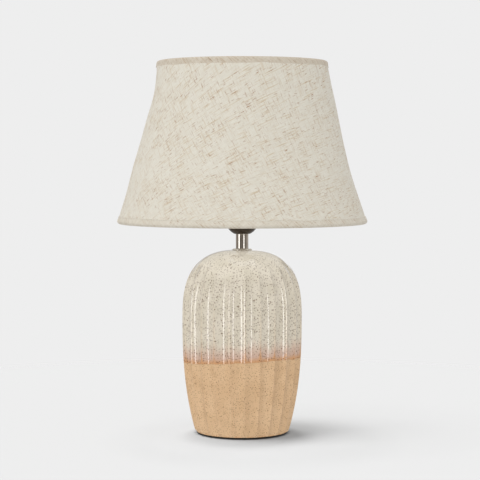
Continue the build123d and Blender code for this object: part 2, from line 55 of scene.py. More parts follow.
MM = 0.001
FULL_TURN = 2 * math.pi
RIDGE = "ridge"              # point attribute: 1 on a ridge, 0 in the middle of a flute
FLAT = "flat"                # UV map: the cloth as it was cut, in metres
CREASE = 38.0                # degrees from which an edge stays sharp
STRUTS = 6                   # wires up the side of the shade

Socket = bpy.types.NodeSocket
Outputs = bpy.types.NodeOutputs
Value = Socket | float | tuple
Colour = tuple[int, int, int]
Point = tuple[float, float]
Span = tuple[float, float]   # the two ends of a range, or a length and a height


class Body(Enum):
    """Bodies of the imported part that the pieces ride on."""

    BASE = "base"
    SHADE = "shade"
    RING_NUT = "shade_ring"
    BULB = "bulb"


class Slot(Enum):
    """Material slots of the record."""

    STONEWARE = "stoneware"
    FELT = "felt"
    ZINC_STEEL = "zinc_steel"
    NICKEL = "nickel"
    BLACK_RUBBER = "black_rubber"
    BLACK_PLASTIC = "black_plastic"
    WHITE_PLASTIC = "white_plastic"
    BRASS = "brass"
    SOLDER = "solder"
    BLACK_GLASS = "black_glass"
    WHITE_BOARD = "white_board"
    OPAL = "opal"
    LINEN = "linen"
    LINEN_TAPE = "linen_tape"
    LINING = "lining"
    WHITE_WIRE = "white_wire"


def linear(colour: Colour) -> tuple[float, float, float, float]:
    """Change a colour from display values of 0 to 255 to linear light.

    Args:
        colour: Red, green and blue as they show on a screen.

    Returns:
        Linear red, green, blue and a full alpha.
    """
    shares = [channel / 255 for channel in colour]
    light = [s / 12.92 if s <= 0.04045 else ((s + 0.055) / 1.055) ** 2.4 for s in shares]
    return (light[0], light[1], light[2], 1.0)


class NodeBench:
    """Adds the nodes of one tree and links them."""

    NUMBER_SOCKETS = (0, 2, 3)   # share, first and second number of a Mix node
    COLOUR_SOCKETS = (0, 6, 7)   # share, first and second colour

    def __init__(self, tree: bpy.types.NodeTree) -> None:
        """Keep the tree that the nodes go into."""
        self.tree = tree

    def add(self, kind: str, **settings: object) -> bpy.types.Node:
        """Add a node.

        Args:
            kind: Blender's name for the kind of node.
            settings: Properties of the node.

        Returns:
            The new node.
        """
        node = self.tree.nodes.new(kind)
        for key, value in settings.items():
            setattr(node, key, value)
        return node

    def feed(self, target: Socket, value: Value) -> None:
        """Link an input to another node's output, or set it to a plain value.

        Args:
            target: The input.
            value: An output socket, or the plain value.
        """
        if isinstance(value, bpy.types.NodeSocket):
            self.tree.links.new(value, target)
        else:
            target.default_value = value

    def fill(self, node: bpy.types.Node, values: dict[str, Value]) -> bpy.types.Node:
        """Feed several inputs of a node by their names.

        Args:
            node: The node.
            values: Input names and what goes into them.

        Returns:
            The same node.
        """
        for name, value in values.items():
            self.feed(node.inputs[name], value)
        return node

    def math(self, operation: str, *values: Value) -> Socket:
        """Put numbers through a math node.

        Args:
            operation: Blender's name for the operation.
            values: The operands in order.

        Returns:
            The result socket.
        """
        node = self.add("ShaderNodeMath", operation=operation)
        for target, value in zip(node.inputs, values):
            self.feed(target, value)
        return node.outputs[0]

    def plus(self, first: Value, second: Value) -> Socket:
        """Add two numbers."""
        return self.math("ADD", first, second)

    def minus(self, first: Value, second: Value) -> Socket:
        """Take the second number from the first."""
        return self.math("SUBTRACT", first, second)

    def times(self, first: Value, second: Value) -> Socket:
        """Multiply two numbers."""
        return self.math("MULTIPLY", first, second)

    def over(self, first: Value, second: Value) -> Socket:
        """Divide the first number by the second."""
        return self.math("DIVIDE", first, second)

    def total(self, *values: Value) -> Socket:
        """Add up any number of values.

        Args:
            values: The values, one of them at least a socket.

        Returns:
            The sum.
        """
        result = values[0]
        for value in values[1:]:
            result = self.plus(result, value)
        return result

    def step(self, value: Value, low: Value, high: Value) -> Socket:
        """Rise smoothly from 0 at a low value to 1 at a high one.

        Args:
            value: What is measured.
            low: Where the rise starts.
            high: Where it ends.

        Returns:
            The share from 0 to 1.
        """
        node = self.add("ShaderNodeMapRange", interpolation_type="SMOOTHSTEP")
        self.fill(node, {"Value": value, "From Min": low, "From Max": high})
        return node.outputs["Result"]

    def fall(self, value: Value, low: Value, high: Value) -> Socket:
        """Fall smoothly from 1 at a low value to 0 at a high one."""
        return self.minus(1.0, self.step(value, low, high))

    def lerp(self, share: Value, first: Value, second: Value) -> Socket:
        """Go from one number to another.

        Args:
            share: 0 for the first, 1 for the second.
            first: The first number.
            second: The second number.

        Returns:
            The number between them.
        """
        node = self.add("ShaderNodeMix", data_type="FLOAT")
        for index, value in zip(self.NUMBER_SOCKETS, (share, first, second)):
            self.feed(node.inputs[index], value)
        return node.outputs[0]

    def mix(self, share: Value, first: Value, second: Value) -> Socket:
        """Mix two colours.

        Args:
            share: 0 for the first, 1 for the second.
            first: The first colour.
            second: The second colour.

        Returns:
            The mixed colour.
        """
        node = self.add("ShaderNodeMix", data_type="RGBA")
        for index, value in zip(self.COLOUR_SOCKETS, (share, first, second)):
            self.feed(node.inputs[index], value)
        return node.outputs[2]

    def lay(self, ground: Value, colour: Colour, mask: Socket, share: float) -> Socket:
        """Lay a colour over a ground.

        Args:
            ground: The colour below.
            colour: The colour as it shows on a screen.
            mask: Where it lies, from 0 to 1.
            share: How far it hides the ground where the mask is 1.

        Returns:
            The colour of both.
        """
        return self.mix(self.times(mask, share), ground, linear(colour))

    def split(self, vector: Socket) -> tuple[Socket, Socket, Socket]:
        """Take a vector apart into its three numbers."""
        node = self.fill(self.add("ShaderNodeSeparateXYZ"), {"Vector": vector})
        return node.outputs[0], node.outputs[1], node.outputs[2]

    def join(self, x: Value, y: Value, z: Value) -> Socket:
        """Make a vector of three numbers."""
        node = self.fill(self.add("ShaderNodeCombineXYZ"), {"X": x, "Y": y, "Z": z})
        return node.outputs[0]

    def noise(self, vector: Socket, size: Value, detail: float = 2.0) -> Socket:
        """Noise from 0 to 1 with lumps of about one size.

        Args:
            vector: Where it is read.
            size: Size of the lumps, in the vector's units.
            detail: How many finer layers lie on it.

        Returns:
            The noise value.
        """
        node = self.add("ShaderNodeTexNoise")
        scale = self.over(1.0, size)
        self.fill(node, {"Vector": vector, "Scale": scale, "Detail": detail})
        return node.outputs[0]

    def group(self, tree: bpy.types.NodeTree, values: dict[str, Value]) -> bpy.types.Node:
        """Place a shader group and fill its inputs."""
        return self.fill(self.add("ShaderNodeGroup", node_tree=tree), values)


@dataclass(frozen=True)
class Yarn:
    """One kind of unevenness along the threads of a cloth."""

    length: float                # by the length of a slub
    width: float                 # by the width of a thread
    shows: Span = (0.0, 1.0)     # levels of its noise between which it comes up


class Effects:
    """Shader groups that more than one finish uses."""

    PATCH_SHOWS: Span = (0.3, 0.7)         # levels of the noise between which a patch comes up
    SPECK_LUMPS = 1.6                      # lumps in the edge of a speck, to one spacing
    SPECK_PUSH = 0.16                      # how far they push the edge, by the spacing
    SPECK_CORE = 0.55                      # share of a speck's radius that is full
    SPECK_LEAST = 0.35                     # least size and strength of a speck, by the most
    THREAD = Yarn(0.45, 1.1)
    SLUB = Yarn(1.0, 1.25, (0.595, 0.815))
    FLECK = Yarn(0.42, 1.2, (0.69, 0.81))
    WEFT_SLICES = (1.7, 4.9, 14.1)         # where the noise is cut for threads, slubs and flecks
    WARP_SLICES = (8.3, 6.1, 15.3)
    CLOUD_SIZE = 2.5                       # size of the clouds that yarns gather in, by the patches' size
    CLOUD_LIFT = 0.11                      # how far a cloud lifts the noise of its yarns

    def __init__(self) -> None:
        """Build each group once."""
        self.grain = self.grain_group()
        self.specks = self.speck_group()
        self.weave = self.weave_group()

    @staticmethod
    def start(name: str, inputs: Sequence[str], outputs: Sequence[str]) -> tuple[NodeBench, Outputs]:
        """Start a group that reads a vector and some numbers.

        Args:
            name: Name of the group.
            inputs: Names of its number inputs.
            outputs: Names of its value outputs.

        Returns:
            A bench for its tree, and what its inputs give.
        """
        tree = bpy.data.node_groups.new(name, "ShaderNodeTree")
        tree.interface.new_socket("Vector", in_out="INPUT", socket_type="NodeSocketVector")
        for label in inputs:
            tree.interface.new_socket(label, in_out="INPUT", socket_type="NodeSocketFloat")
        for label in outputs:
            tree.interface.new_socket(label, in_out="OUTPUT", socket_type="NodeSocketFloat")
        bench = NodeBench(tree)
        return bench, bench.add("NodeGroupInput").outputs

    @staticmethod
    def close(bench: NodeBench, values: dict[str, Value]) -> bpy.types.NodeTree:
        """Link the outputs of a group.

        Args:
            bench: The group's bench.
            values: What comes out under each name.

        Returns:
            The finished group.
        """
        bench.fill(bench.add("NodeGroupOutput"), values)
        return bench.tree

    def grain_group(self) -> bpy.types.NodeTree:
        """Soft patches of tone with a fine grain over them.

        Returns:
            The group, with the outputs Patches and Grain.
        """
        bench, given = self.start("patches_and_grain", ("Patch Size", "Grain Size"), ("Patches", "Grain"))
        patches = bench.noise(given["Vector"], given["Patch Size"], detail=3.0)
        grain = bench.noise(given["Vector"], given["Grain Size"], detail=1.0)
        return self.close(bench, {"Patches": bench.step(patches, *self.PATCH_SHOWS), "Grain": grain})

    def speck_group(self) -> bpy.types.NodeTree:
        """Scattered irregular specks, each with a size and strength of its own.

        Returns:
            The group, with the output Specks.
        """
        bench, given = self.start("specks", ("Spacing", "Radius"), ("Specks",))
        spacing = given["Spacing"]
        rough = bench.add("ShaderNodeTexNoise")
        lumps = bench.over(self.SPECK_LUMPS, spacing)
        bench.fill(rough, {"Vector": given["Vector"], "Scale": lumps, "Detail": 1.0})
        push = bench.add("ShaderNodeVectorMath", operation="SCALE")
        bench.feed(push.inputs[0], rough.outputs["Color"])
        bench.feed(push.inputs["Scale"], bench.times(spacing, self.SPECK_PUSH))
        moved = bench.add("ShaderNodeVectorMath", operation="ADD")
        bench.feed(moved.inputs[0], given["Vector"])
        bench.feed(moved.inputs[1], push.outputs[0])
        cells = bench.add("ShaderNodeTexVoronoi")
        bench.fill(cells, {"Vector": moved.outputs[0], "Scale": bench.over(1.0, spacing)})
        chance = bench.fill(bench.add("ShaderNodeSeparateColor"), {"Color": cells.outputs["Color"]})
        size, strength = [bench.lerp(chance.outputs[index], self.SPECK_LEAST, 1.0) for index in (0, 1)]
        reach = bench.times(bench.over(given["Radius"], spacing), size)
        inside = bench.fall(cells.outputs["Distance"], bench.times(reach, self.SPECK_CORE), reach)
        return self.close(bench, {"Specks": bench.times(inside, strength)})

    @staticmethod
    def drawn_out(bench: NodeBench, given: Outputs, run: Socket, side: Socket, layer: float,
                  kind: Yarn) -> Socket:
        """Noise drawn out along one direction of the threads.

        Args:
            bench: The weave's bench.
            given: What its inputs give.
            run: Distance along the threads.
            side: Distance across them.
            layer: Where the noise is cut.
            kind: How long and wide its lumps are.

        Returns:
            The noise value.
        """
        far = bench.over(run, bench.times(given["Slub Length"], kind.length))
        wide = bench.over(side, bench.times(given["Yarn"], kind.width))
        return bench.noise(bench.join(far, wide, layer), size=1.0, detail=1.0)

    def weave_group(self) -> bpy.types.NodeTree:
        """Plain weave with uneven yarn: fine threads, long slubs and short flecks in both directions.

        Returns:
            The group, with the outputs Weave, Threads, Slubs, Flecks and Patches.
        """
        labels = ("Turn", "Yarn", "Slub Length", "Warp Share", "Patch Size")
        results = ("Weave", "Threads", "Slubs", "Flecks", "Patches")
        bench, given = self.start("uneven_weave", labels, results)
        turned = bench.add("ShaderNodeVectorRotate", rotation_type="Z_AXIS", invert=True)
        bench.fill(turned, {"Vector": given["Vector"], "Angle": given["Turn"]})
        along, across, _ = bench.split(turned.outputs[0])
        cloud_size = bench.times(given["Patch Size"], self.CLOUD_SIZE)
        clouds = bench.times(bench.noise(given["Vector"], cloud_size, detail=1.0), self.CLOUD_LIFT)
        weft = (along, across, self.WEFT_SLICES, 1.0)
        warp = (across, along, self.WARP_SLICES, given["Warp Share"])
        waves, threads, slubs, flecks = [], [], [], []
        for run, side, slices, share in (weft, warp):
            waves.append(bench.math("SINE", bench.times(bench.over(run, given["Yarn"]), math.pi)))
            threads.append(self.drawn_out(bench, given, run, side, slices[0], self.THREAD))
            for found, kind, layer in ((slubs, self.SLUB, slices[1]), (flecks, self.FLECK, slices[2])):
                level = bench.plus(self.drawn_out(bench, given, run, side, layer, kind), clouds)
                found.append(bench.times(bench.step(level, *kind.shows), share))
        values: dict[str, Value] = {
            "Weave": bench.times(*waves),
            "Threads": bench.over(bench.plus(*threads), 2.0),
            "Slubs": bench.math("MAXIMUM", *slubs),
            "Flecks": bench.math("MAXIMUM", *flecks),
            "Patches": bench.noise(given["Vector"], given["Patch Size"]),
        }
        return self.close(bench, values)


@dataclass(frozen=True)
class Finish:
    """A finish that stands for one material slot."""

    slot: Slot

    def start(self) -> tuple[bpy.types.Material, NodeBench, bpy.types.Node]:
        """Start the material with its shader and output.

        Returns:
            The material, a bench for its tree, and the Principled shader.
        """
        material = bpy.data.materials.new(f"lamp_{self.slot.value}")
        material.use_nodes = True
        material.node_tree.nodes.clear()
        bench = NodeBench(material.node_tree)
        shader = bench.add("ShaderNodeBsdfPrincipled")
        bench.fill(bench.add("ShaderNodeOutputMaterial"), {"Surface": shader.outputs[0]})
        return material, bench, shader

    @staticmethod
    def relief(bench: NodeBench, shader: bpy.types.Node, height: Socket) -> None:
        """Bend the surface's normals by a height in metres.

        Args:
            bench: The material's bench.
            shader: Its Principled shader.
            height: Height of the fine relief.
        """
        bump = bench.fill(bench.add("ShaderNodeBump"), {"Strength": 1.0, "Distance": 1.0, "Height": height})
        bench.feed(shader.inputs["Normal"], bump.outputs[0])

    def make(self, effects: Effects) -> bpy.types.Material:
        """Build the material; each finish has its own way."""
        raise NotImplementedError


@dataclass(frozen=True)
class SolidFinish(Finish):
    """Metal, plastic, rubber, paint or felt: soft patches of tone and a fine grain."""

    colour: Colour
    second: Colour
    roughness: float
    spread: float = 0.05
    metallic: float = 0.0
    patch: float = 6 * MM
    grain: float = 0.4 * MM
    height: float = 0.004 * MM
    sheen: float = 0.0

    def make(self, effects: Effects) -> bpy.types.Material:
        """Build the material.

        Args:
            effects: The shared shader groups.

        Returns:
            The material.
        """
        material, bench, shader = self.start()
        place = bench.add("ShaderNodeTexCoord").outputs["Object"]
        sizes = {"Vector": place, "Patch Size": self.patch, "Grain Size": self.grain}
        surface = bench.group(effects.grain, sizes).outputs
        patches, grain = surface["Patches"], surface["Grain"]
        colour = bench.mix(patches, linear(self.colour), linear(self.second))
        low, high = self.roughness - self.spread, self.roughness + self.spread
        bench.fill(shader, {
            "Base Color": colour,
            "Roughness": bench.lerp(grain, low, high),
            "Metallic": self.metallic,
            "Sheen Weight": self.sheen,
        })
        self.relief(bench, shader, bench.times(grain, self.height))
        return material


@dataclass(frozen=True)
class Specks:
    """Dark specks strewn over a ground."""

    colour: Colour
    spacing: float
    radius: float                # of the largest
    share: float = 0.9           # how far the strongest hides the ground

    def strew(self, bench: NodeBench, effects: Effects, place: Socket, ground: Socket) -> Socket:
        """Lay the specks on a ground.

        Args:
            bench: The material's bench.
            effects: The shared shader groups.
            place: Object coordinates.
            ground: The colour below.

        Returns:
            The speckled colour.
        """
        sizes = {"Vector": place, "Spacing": self.spacing, "Radius": self.radius}
        specks = bench.group(effects.specks, sizes).outputs[0]
        return bench.lay(ground, self.colour, specks, self.share)


@dataclass(frozen=True)
class StonewareFinish(Finish):
    """Sandy unglazed clay below, speckled glossy glaze above, with a blushing edge between them."""

    line_level: float = 73.5 * MM          # height of the glaze's edge on the axis
    line_slope: Point = (0.0457, -0.0595)  # how the dipped edge rises to the right and to the back
    line_wavers: tuple[Span, ...] = ((15 * MM, 2.4 * MM), (2.5 * MM, 0.9 * MM))  # length and height
    line_blur: float = 0.25 * MM
    cream: Colour = (228, 219, 202)
    cream_thin: Colour = (218, 209, 190)
    crest_cream: Colour = (222, 201, 169)
    blush: Colour = (210, 177, 157)
    flame: Colour = (209, 156, 108)
    clay: Colour = (226, 192, 152)
    clay_dark: Colour = (207, 171, 130)
    dots: Specks = Specks((92, 58, 30), 1.55 * MM, 0.88 * MM)
    grit: Specks = Specks((106, 64, 32), 1.2 * MM, 0.6 * MM)
    patch: float = 16 * MM
    grain: float = 0.7 * MM
    crest_power: float = 5.0               # how narrow the crests are that show thin glaze
    worn_fade: Span = (10 * MM, 70 * MM)   # heights above the edge between which thin crests fade out
    worn_share: float = 0.5
    run_width: float = 2.6 * MM
    run_squeeze: float = 0.1               # the runs are ten times as long as they are wide
    blush_height: float = 23 * MM
    blush_reach: Span = (0.5, 1.5)         # least and most reach of the blush, by its height
    blush_core: float = 0.15               # share of its reach over which it is full
    blush_share: float = 0.95
    flame_height: float = 23 * MM
    flame_least: float = 0.24              # reach of the flame where no run licks up, by its height
    flame_runs: Span = (0.35, 0.62)        # levels of the runs' noise between which one licks up
    flame_core: float = 0.1
    flame_share: float = 0.9
    gloss: float = 0.08
    glaze_ior: float = 1.56
    glaze_thickness: float = 0.2 * MM
    glaze_swell: Span = (5 * MM, 0.05 * MM)  # width and height
    clay_roughness: float = 0.6
    clay_height: float = 0.07 * MM         # of its grain

    def above_line(self, bench: NodeBench, place: Socket) -> Socket:
        """Height above the glaze's wavering edge, in metres.

        Args:
            bench: The material's bench.
            place: Object coordinates.

        Returns:
            The height, below 0 on the clay.
        """
        x, y, z = bench.split(place)
        middle = self.line_level
        parts = [z, bench.times(x, -self.line_slope[0]), bench.times(y, -self.line_slope[1])]
        for length, height in self.line_wavers:
            parts.append(bench.times(bench.noise(place, length), height))
            middle += height / 2
        return bench.total(*parts, -middle)

    def glaze_colour(self, bench: NodeBench, place: Socket, above: Socket, patches: Socket) -> Socket:
        """Cream glaze, thin on the crests, that blushes and flames towards its edge.

        Args:
            bench: The material's bench.
            place: Object coordinates.
            above: Height above the edge.
            patches: Soft patches of tone.

        Returns:
            The colour without specks.
        """
        ridge = bench.add("ShaderNodeAttribute", attribute_name=RIDGE).outputs["Fac"]
        crest = bench.math("POWER", ridge, self.crest_power)
        x, y, z = bench.split(place)
        runs = bench.noise(bench.join(x, y, bench.times(z, self.run_squeeze)), self.run_width)
        colour = bench.mix(patches, linear(self.cream), linear(self.cream_thin))
        worn = bench.times(crest, bench.fall(above, *self.worn_fade))
        colour = bench.lay(colour, self.crest_cream, worn, self.worn_share)
        reach = bench.times(bench.lerp(runs, *self.blush_reach), self.blush_height)
        blush = bench.fall(above, bench.times(reach, self.blush_core), reach)
        colour = bench.lay(colour, self.blush, blush, self.blush_share)
        licks = bench.times(crest, bench.step(runs, *self.flame_runs))
        tongue = bench.times(bench.lerp(licks, self.flame_least, 1.0), self.flame_height)
        flame = bench.fall(above, bench.times(tongue, self.flame_core), tongue)
        return bench.lay(colour, self.flame, flame, self.flame_share)

    def make(self, effects: Effects) -> bpy.types.Material:
        """Build the material.

        Args:
            effects: The shared shader groups.

        Returns:
            The material.
        """
        material, bench, shader = self.start()
        place = bench.add("ShaderNodeTexCoord").outputs["Object"]
        above = self.above_line(bench, place)
        glazed = bench.step(above, -self.line_blur, self.line_blur)
        sizes = {"Vector": place, "Patch Size": self.patch, "Grain Size": self.grain}
        surface = bench.group(effects.grain, sizes).outputs
        patches, grain = surface["Patches"], surface["Grain"]
        glaze = self.glaze_colour(bench, place, above, patches)
        glaze = self.dots.strew(bench, effects, place, glaze)
        clay = bench.mix(bench.lerp(0.5, patches, grain), linear(self.clay), linear(self.clay_dark))
        clay = self.grit.strew(bench, effects, place, clay)
        bench.fill(shader, {
            "Base Color": bench.mix(glazed, clay, glaze),
            "Roughness": bench.lerp(glazed, self.clay_roughness, self.gloss),
            "Coat Weight": glazed,
            "Coat Roughness": self.gloss,
            "Coat IOR": self.glaze_ior,
        })
        width, height = self.glaze_swell
        swell = bench.times(bench.noise(place, width, detail=1.0), height)
        glaze_relief = bench.plus(swell, self.glaze_thickness)
        clay_relief = bench.times(grain, self.clay_height)
        self.relief(bench, shader, bench.lerp(glazed, clay_relief, glaze_relief))
        return material


@dataclass(frozen=True)
class ClothFinish(Finish):
    """Woven cloth with uneven yarn, read from the cloth's own flat coordinates."""

    light: Colour
    dark: Colour
    slub: Colour
    fleck: Colour
    turn: float                  # degrees from the level to the weft at the front
    yarn: float = 0.8 * MM
    slub_length: float = 17 * MM
    slub_share: float = 0.75
    warp_share: float = 0.7      # how strong the warp's slubs and flecks are beside the weft's
    fleck_share: float = 0.75
    patch: float = 11 * MM
    patch_shows: Span = (0.25, 0.75)
    patch_share: float = 0.3     # of the tone; the single threads have the rest
    thread_shows: Span = (0.34, 0.66)
    roughness: Span = (0.94, 0.82)  # of the ground and of a slub
    sheen: float = 0.08
    relief_height: float = 0.05 * MM
    slub_rise: float = 1.2       # by the height of the weave

    def make(self, effects: Effects) -> bpy.types.Material:
        """Build the material.

        Args:
            effects: The shared shader groups.

        Returns:
            The material.
        """
        material, bench, shader = self.start()
        cloth = bench.group(effects.weave, {
            "Vector": bench.add("ShaderNodeUVMap", uv_map=FLAT).outputs[0],
            "Turn": math.radians(self.turn),
            "Yarn": self.yarn,
            "Slub Length": self.slub_length,
            "Warp Share": self.warp_share,
            "Patch Size": self.patch,
        }).outputs
        patches = bench.step(cloth["Patches"], *self.patch_shows)
        threads = bench.step(cloth["Threads"], *self.thread_shows)
        tone = bench.lerp(self.patch_share, threads, patches)
        colour = bench.mix(tone, linear(self.light), linear(self.dark))
        colour = bench.lay(colour, self.slub, cloth["Slubs"], self.slub_share)
        colour = bench.lay(colour, self.fleck, cloth["Flecks"], self.fleck_share)
        bench.fill(shader, {
            "Base Color": colour,
            "Roughness": bench.lerp(cloth["Slubs"], *self.roughness),
            "Sheen Weight": self.sheen,
        })
        raised = bench.plus(cloth["Weave"], bench.times(cloth["Slubs"], self.slub_rise))
        self.relief(bench, shader, bench.times(raised, self.relief_height))
        return material


# The hem and crown tapes are one cloth in two copies: the hem's copy is painted lighter and the crown's
# darker. This is painted light and shade for how the light falls on the lower and the upper tape.
HEM_TAPE_PAINTED_LIGHTER = ClothFinish(
    Slot.LINEN_TAPE, (218, 212, 199), (204, 196, 180), (187, 168, 143), (158, 125, 92), -42.0,
    warp_share=0.3)
CROWN_TAPE_PAINTED_DARKER = ClothFinish(
    Slot.LINEN_TAPE, (210, 201, 186), (195, 184, 166), (178, 155, 128), (150, 115, 80), -42.0,
    warp_share=0.3)
FINISHES: tuple[Finish, ...] = (
    StonewareFinish(Slot.STONEWARE),
    SolidFinish(Slot.FELT, (22, 19, 15), (34, 30, 25), 0.92, grain=0.5 * MM, height=0.12 * MM, sheen=0.1),
    SolidFinish(Slot.ZINC_STEEL, (176, 178, 180), (150, 152, 156), 0.34, 0.1, 1.0, grain=0.6 * MM),
    SolidFinish(Slot.NICKEL, (224, 219, 212), (212, 206, 198), 0.07, 0.03, 1.0, patch=4 * MM,
                grain=0.25 * MM, height=0.0008 * MM),
    SolidFinish(Slot.BLACK_RUBBER, (34, 33, 31), (44, 42, 40), 0.68, 0.08, grain=0.3 * MM,
                height=0.01 * MM),
    SolidFinish(Slot.BLACK_PLASTIC, (36, 25, 14), (45, 33, 21), 0.4, 0.06, grain=0.35 * MM,
                height=0.008 * MM),
    SolidFinish(Slot.WHITE_PLASTIC, (236, 234, 228), (228, 226, 219), 0.36, 0.06),
    SolidFinish(Slot.BRASS, (206, 172, 100), (186, 150, 82), 0.28, 0.08, 1.0),
    SolidFinish(Slot.SOLDER, (178, 180, 182), (150, 152, 155), 0.42, 0.1, 1.0, grain=0.8 * MM,
                height=0.03 * MM),
    SolidFinish(Slot.BLACK_GLASS, (24, 22, 26), (34, 30, 36), 0.14, 0.03),
    SolidFinish(Slot.WHITE_BOARD, (234, 236, 231), (224, 227, 221), 0.5, 0.06),
    SolidFinish(Slot.OPAL, (240, 238, 232), (232, 229, 222), 0.3, 0.05, patch=14 * MM, height=0.002 * MM),
    SolidFinish(Slot.WHITE_WIRE, (232, 230, 223), (220, 217, 208), 0.42, 0.08, grain=0.9 * MM,
                height=0.015 * MM),
    ClothFinish(Slot.LINEN, (222, 218, 206), (213, 207, 193), (194, 172, 138), (150, 98, 46), 27.0,
                slub_length=16 * MM, slub_share=0.72, warp_share=0.68),
    ClothFinish(Slot.LINING, (236, 233, 226), (229, 225, 216), (222, 216, 204), (214, 206, 192), 27.0,
                yarn=0.5 * MM, fleck_share=0.3),
)


class TurnedTree:
    """Geometry Nodes tree that turns an outline about the lamp's axis, with grooves round it if asked."""

    INPUTS = {
        "Outline": "NodeSocketGeometry",
        "Columns": "NodeSocketInt",
        "Grooves": "NodeSocketInt",
        "Groove Depth": "NodeSocketFloat",
        "Groove Turn": "NodeSocketFloat",
        "Groove Roundness": "NodeSocketFloat",
        "Ridge Softness": "NodeSocketFloat",
        "Finish": "NodeSocketMaterial",
    }
    ROUNDNESS = 1.55             # radius of a groove's arc, by half the groove's width
    NUDGE = 1e-5                 # keeps a column that lies on a ridge out of the groove before it
    WELD = 0.002 * MM

    def __init__(self) -> None:
        """Build the tree once; each piece sets its inputs on its own modifier."""
        self.tree = bpy.data.node_groups.new("turned_form", "GeometryNodeTree")
        for label, kind in self.INPUTS.items():
            self.tree.interface.new_socket(label, in_out="INPUT", socket_type=kind)
        self.tree.interface.new_socket("Form", in_out="OUTPUT", socket_type="NodeSocketGeometry")
        self.lay_nodes(NodeBench(self.tree))

    @staticmethod
    def grid(bench: NodeBench, given: Outputs) -> tuple[Socket, Socket, Socket]:
        """Lay a grid with a row for each point of the outline, the first one twice.

        Args:
            bench: The tree's bench.
            given: What its inputs give.

        Returns:
            The grid, and the outline's point and the column that each of its points stands for.
        """
        count = bench.add("GeometryNodeAttributeDomainSize", component="MESH")
        bench.feed(count.inputs[0], given["Outline"])
        corners = count.outputs["Point Count"]
        rows = bench.plus(corners, 1.0)
        columns = bench.plus(given["Columns"], 1.0)
        grid = bench.fill(bench.add("GeometryNodeMeshGrid"), {"Vertices X": columns, "Vertices Y": rows})
        number = bench.add("GeometryNodeInputIndex").outputs[0]
        row = bench.math("FLOORED_MODULO", bench.math("FLOORED_MODULO", number, rows), corners)
        column = bench.math("FLOOR", bench.over(bench.plus(number, 0.5), rows))
        return grid.outputs[0], row, column

    def hollow(self, bench: NodeBench, given: Outputs, part: Socket) -> Socket:
        """Depth across a groove: an arc of a circle whose ends are softened into rounded ridges.

        Args:
            bench: The tree's bench.
            given: What its inputs give.
            part: Share of the whole turn.

        Returns:
            0 on a ridge, 1 in the middle of a groove.
        """
        roundness, softness = given["Groove Roundness"], given["Ridge Softness"]
        phase = bench.math("FRACT", bench.plus(bench.times(part, given["Grooves"]), self.NUDGE))
        aside = bench.math("ABSOLUTE", bench.minus(bench.times(phase, 2.0), 1.0))
        square = bench.math("POWER", roundness, 2.0)
        edge = bench.math("SQRT", bench.minus(square, 1.0))
        here = bench.math("SQRT", bench.minus(square, bench.math("POWER", aside, 2.0)))
        arc_share = bench.over(bench.minus(here, edge), bench.minus(roundness, edge))
        soft = bench.math("POWER", softness, 2.0)
        smooth = bench.math("SQRT", bench.plus(bench.math("POWER", arc_share, 2.0), soft))
        most = bench.minus(bench.math("SQRT", bench.plus(soft, 1.0)), softness)
        return bench.over(bench.minus(smooth, softness), most)

    def lay_nodes(self, bench: NodeBench) -> None:
        """Lay the nodes: the grid is bent round the axis, hollowed, closed and dressed.

        Args:
            bench: The tree's bench.
        """
        given = bench.add("NodeGroupInput").outputs
        form, row, column = self.grid(bench, given)
        read = bench.add("GeometryNodeSampleIndex", data_type="FLOAT_VECTOR", domain="POINT")
        position = bench.add("GeometryNodeInputPosition").outputs[0]
        bench.fill(read, {"Geometry": given["Outline"], "Value": position, "Index": row})
        radius, share, level = bench.split(read.outputs[0])
        part = bench.over(column, given["Columns"])
        hollow = self.hollow(bench, given, part)
        depth = bench.times(given["Groove Depth"], share)
        reach = bench.minus(radius, bench.times(depth, hollow))
        angle = bench.plus(bench.times(part, FULL_TURN), given["Groove Turn"])
        x = bench.times(reach, bench.math("COSINE", angle))
        y = bench.times(reach, bench.math("SINE", angle))
        crest = bench.times(share, bench.minus(1.0, hollow))
        mark = bench.add("GeometryNodeStoreNamedAttribute", data_type="FLOAT", domain="POINT")
        chain = (
            (bench.add("GeometryNodeSetPosition"), {"Position": bench.join(x, y, level)}),
            (mark, {"Name": RIDGE, "Value": crest}),
            (bench.add("GeometryNodeMergeByDistance"), {"Distance": self.WELD}),
            (bench.add("GeometryNodeRealizeInstances"), {}),
            (bench.add("GeometryNodeSetMaterial"), {"Material": given["Finish"]}),
        )
        for node, values in chain:
            form = bench.fill(node, {"Geometry": form, **values}).outputs[0]
        bench.feed(bench.add("NodeGroupOutput").inputs[0], form)

    def apply(self, piece: bpy.types.Object, values: dict[str, object]) -> None:
        """Run the tree on an outline and keep its result as the piece's plain mesh.

        Args:
            piece: Object whose mesh is the outline's points: radius, groove share and height.
            values: The tree's inputs by name.
        """
        modifier = piece.modifiers.new("turned", "NODES")
        modifier.node_group = self.tree
        for item in self.tree.interface.items_tree:
            if item.in_out == "INPUT" and item.name in values:
                modifier[item.identifier] = values[item.name]
        plain_mesh(piece)


def plain_mesh(piece: bpy.types.Object) -> None:
    """Turn a piece with its modifiers into a plain mesh of its own.

    Args:
        piece: The object; its modifiers are removed.
    """
    graph = bpy.context.evaluated_depsgraph_get()
    solid = piece.evaluated_get(graph)
    mesh = bpy.data.meshes.new_from_object(solid, preserve_all_data_layers=True, depsgraph=graph)
    piece.modifiers.clear()
    piece.data = mesh


def shade_between_edges(mesh: bpy.types.Mesh, crease: float = CREASE) -> None:
    """Shade a mesh smooth and keep its edges sharp from a crease angle in degrees."""
    mesh.shade_smooth()
    mesh.set_sharp_from_angle(angle=math.radians(crease))


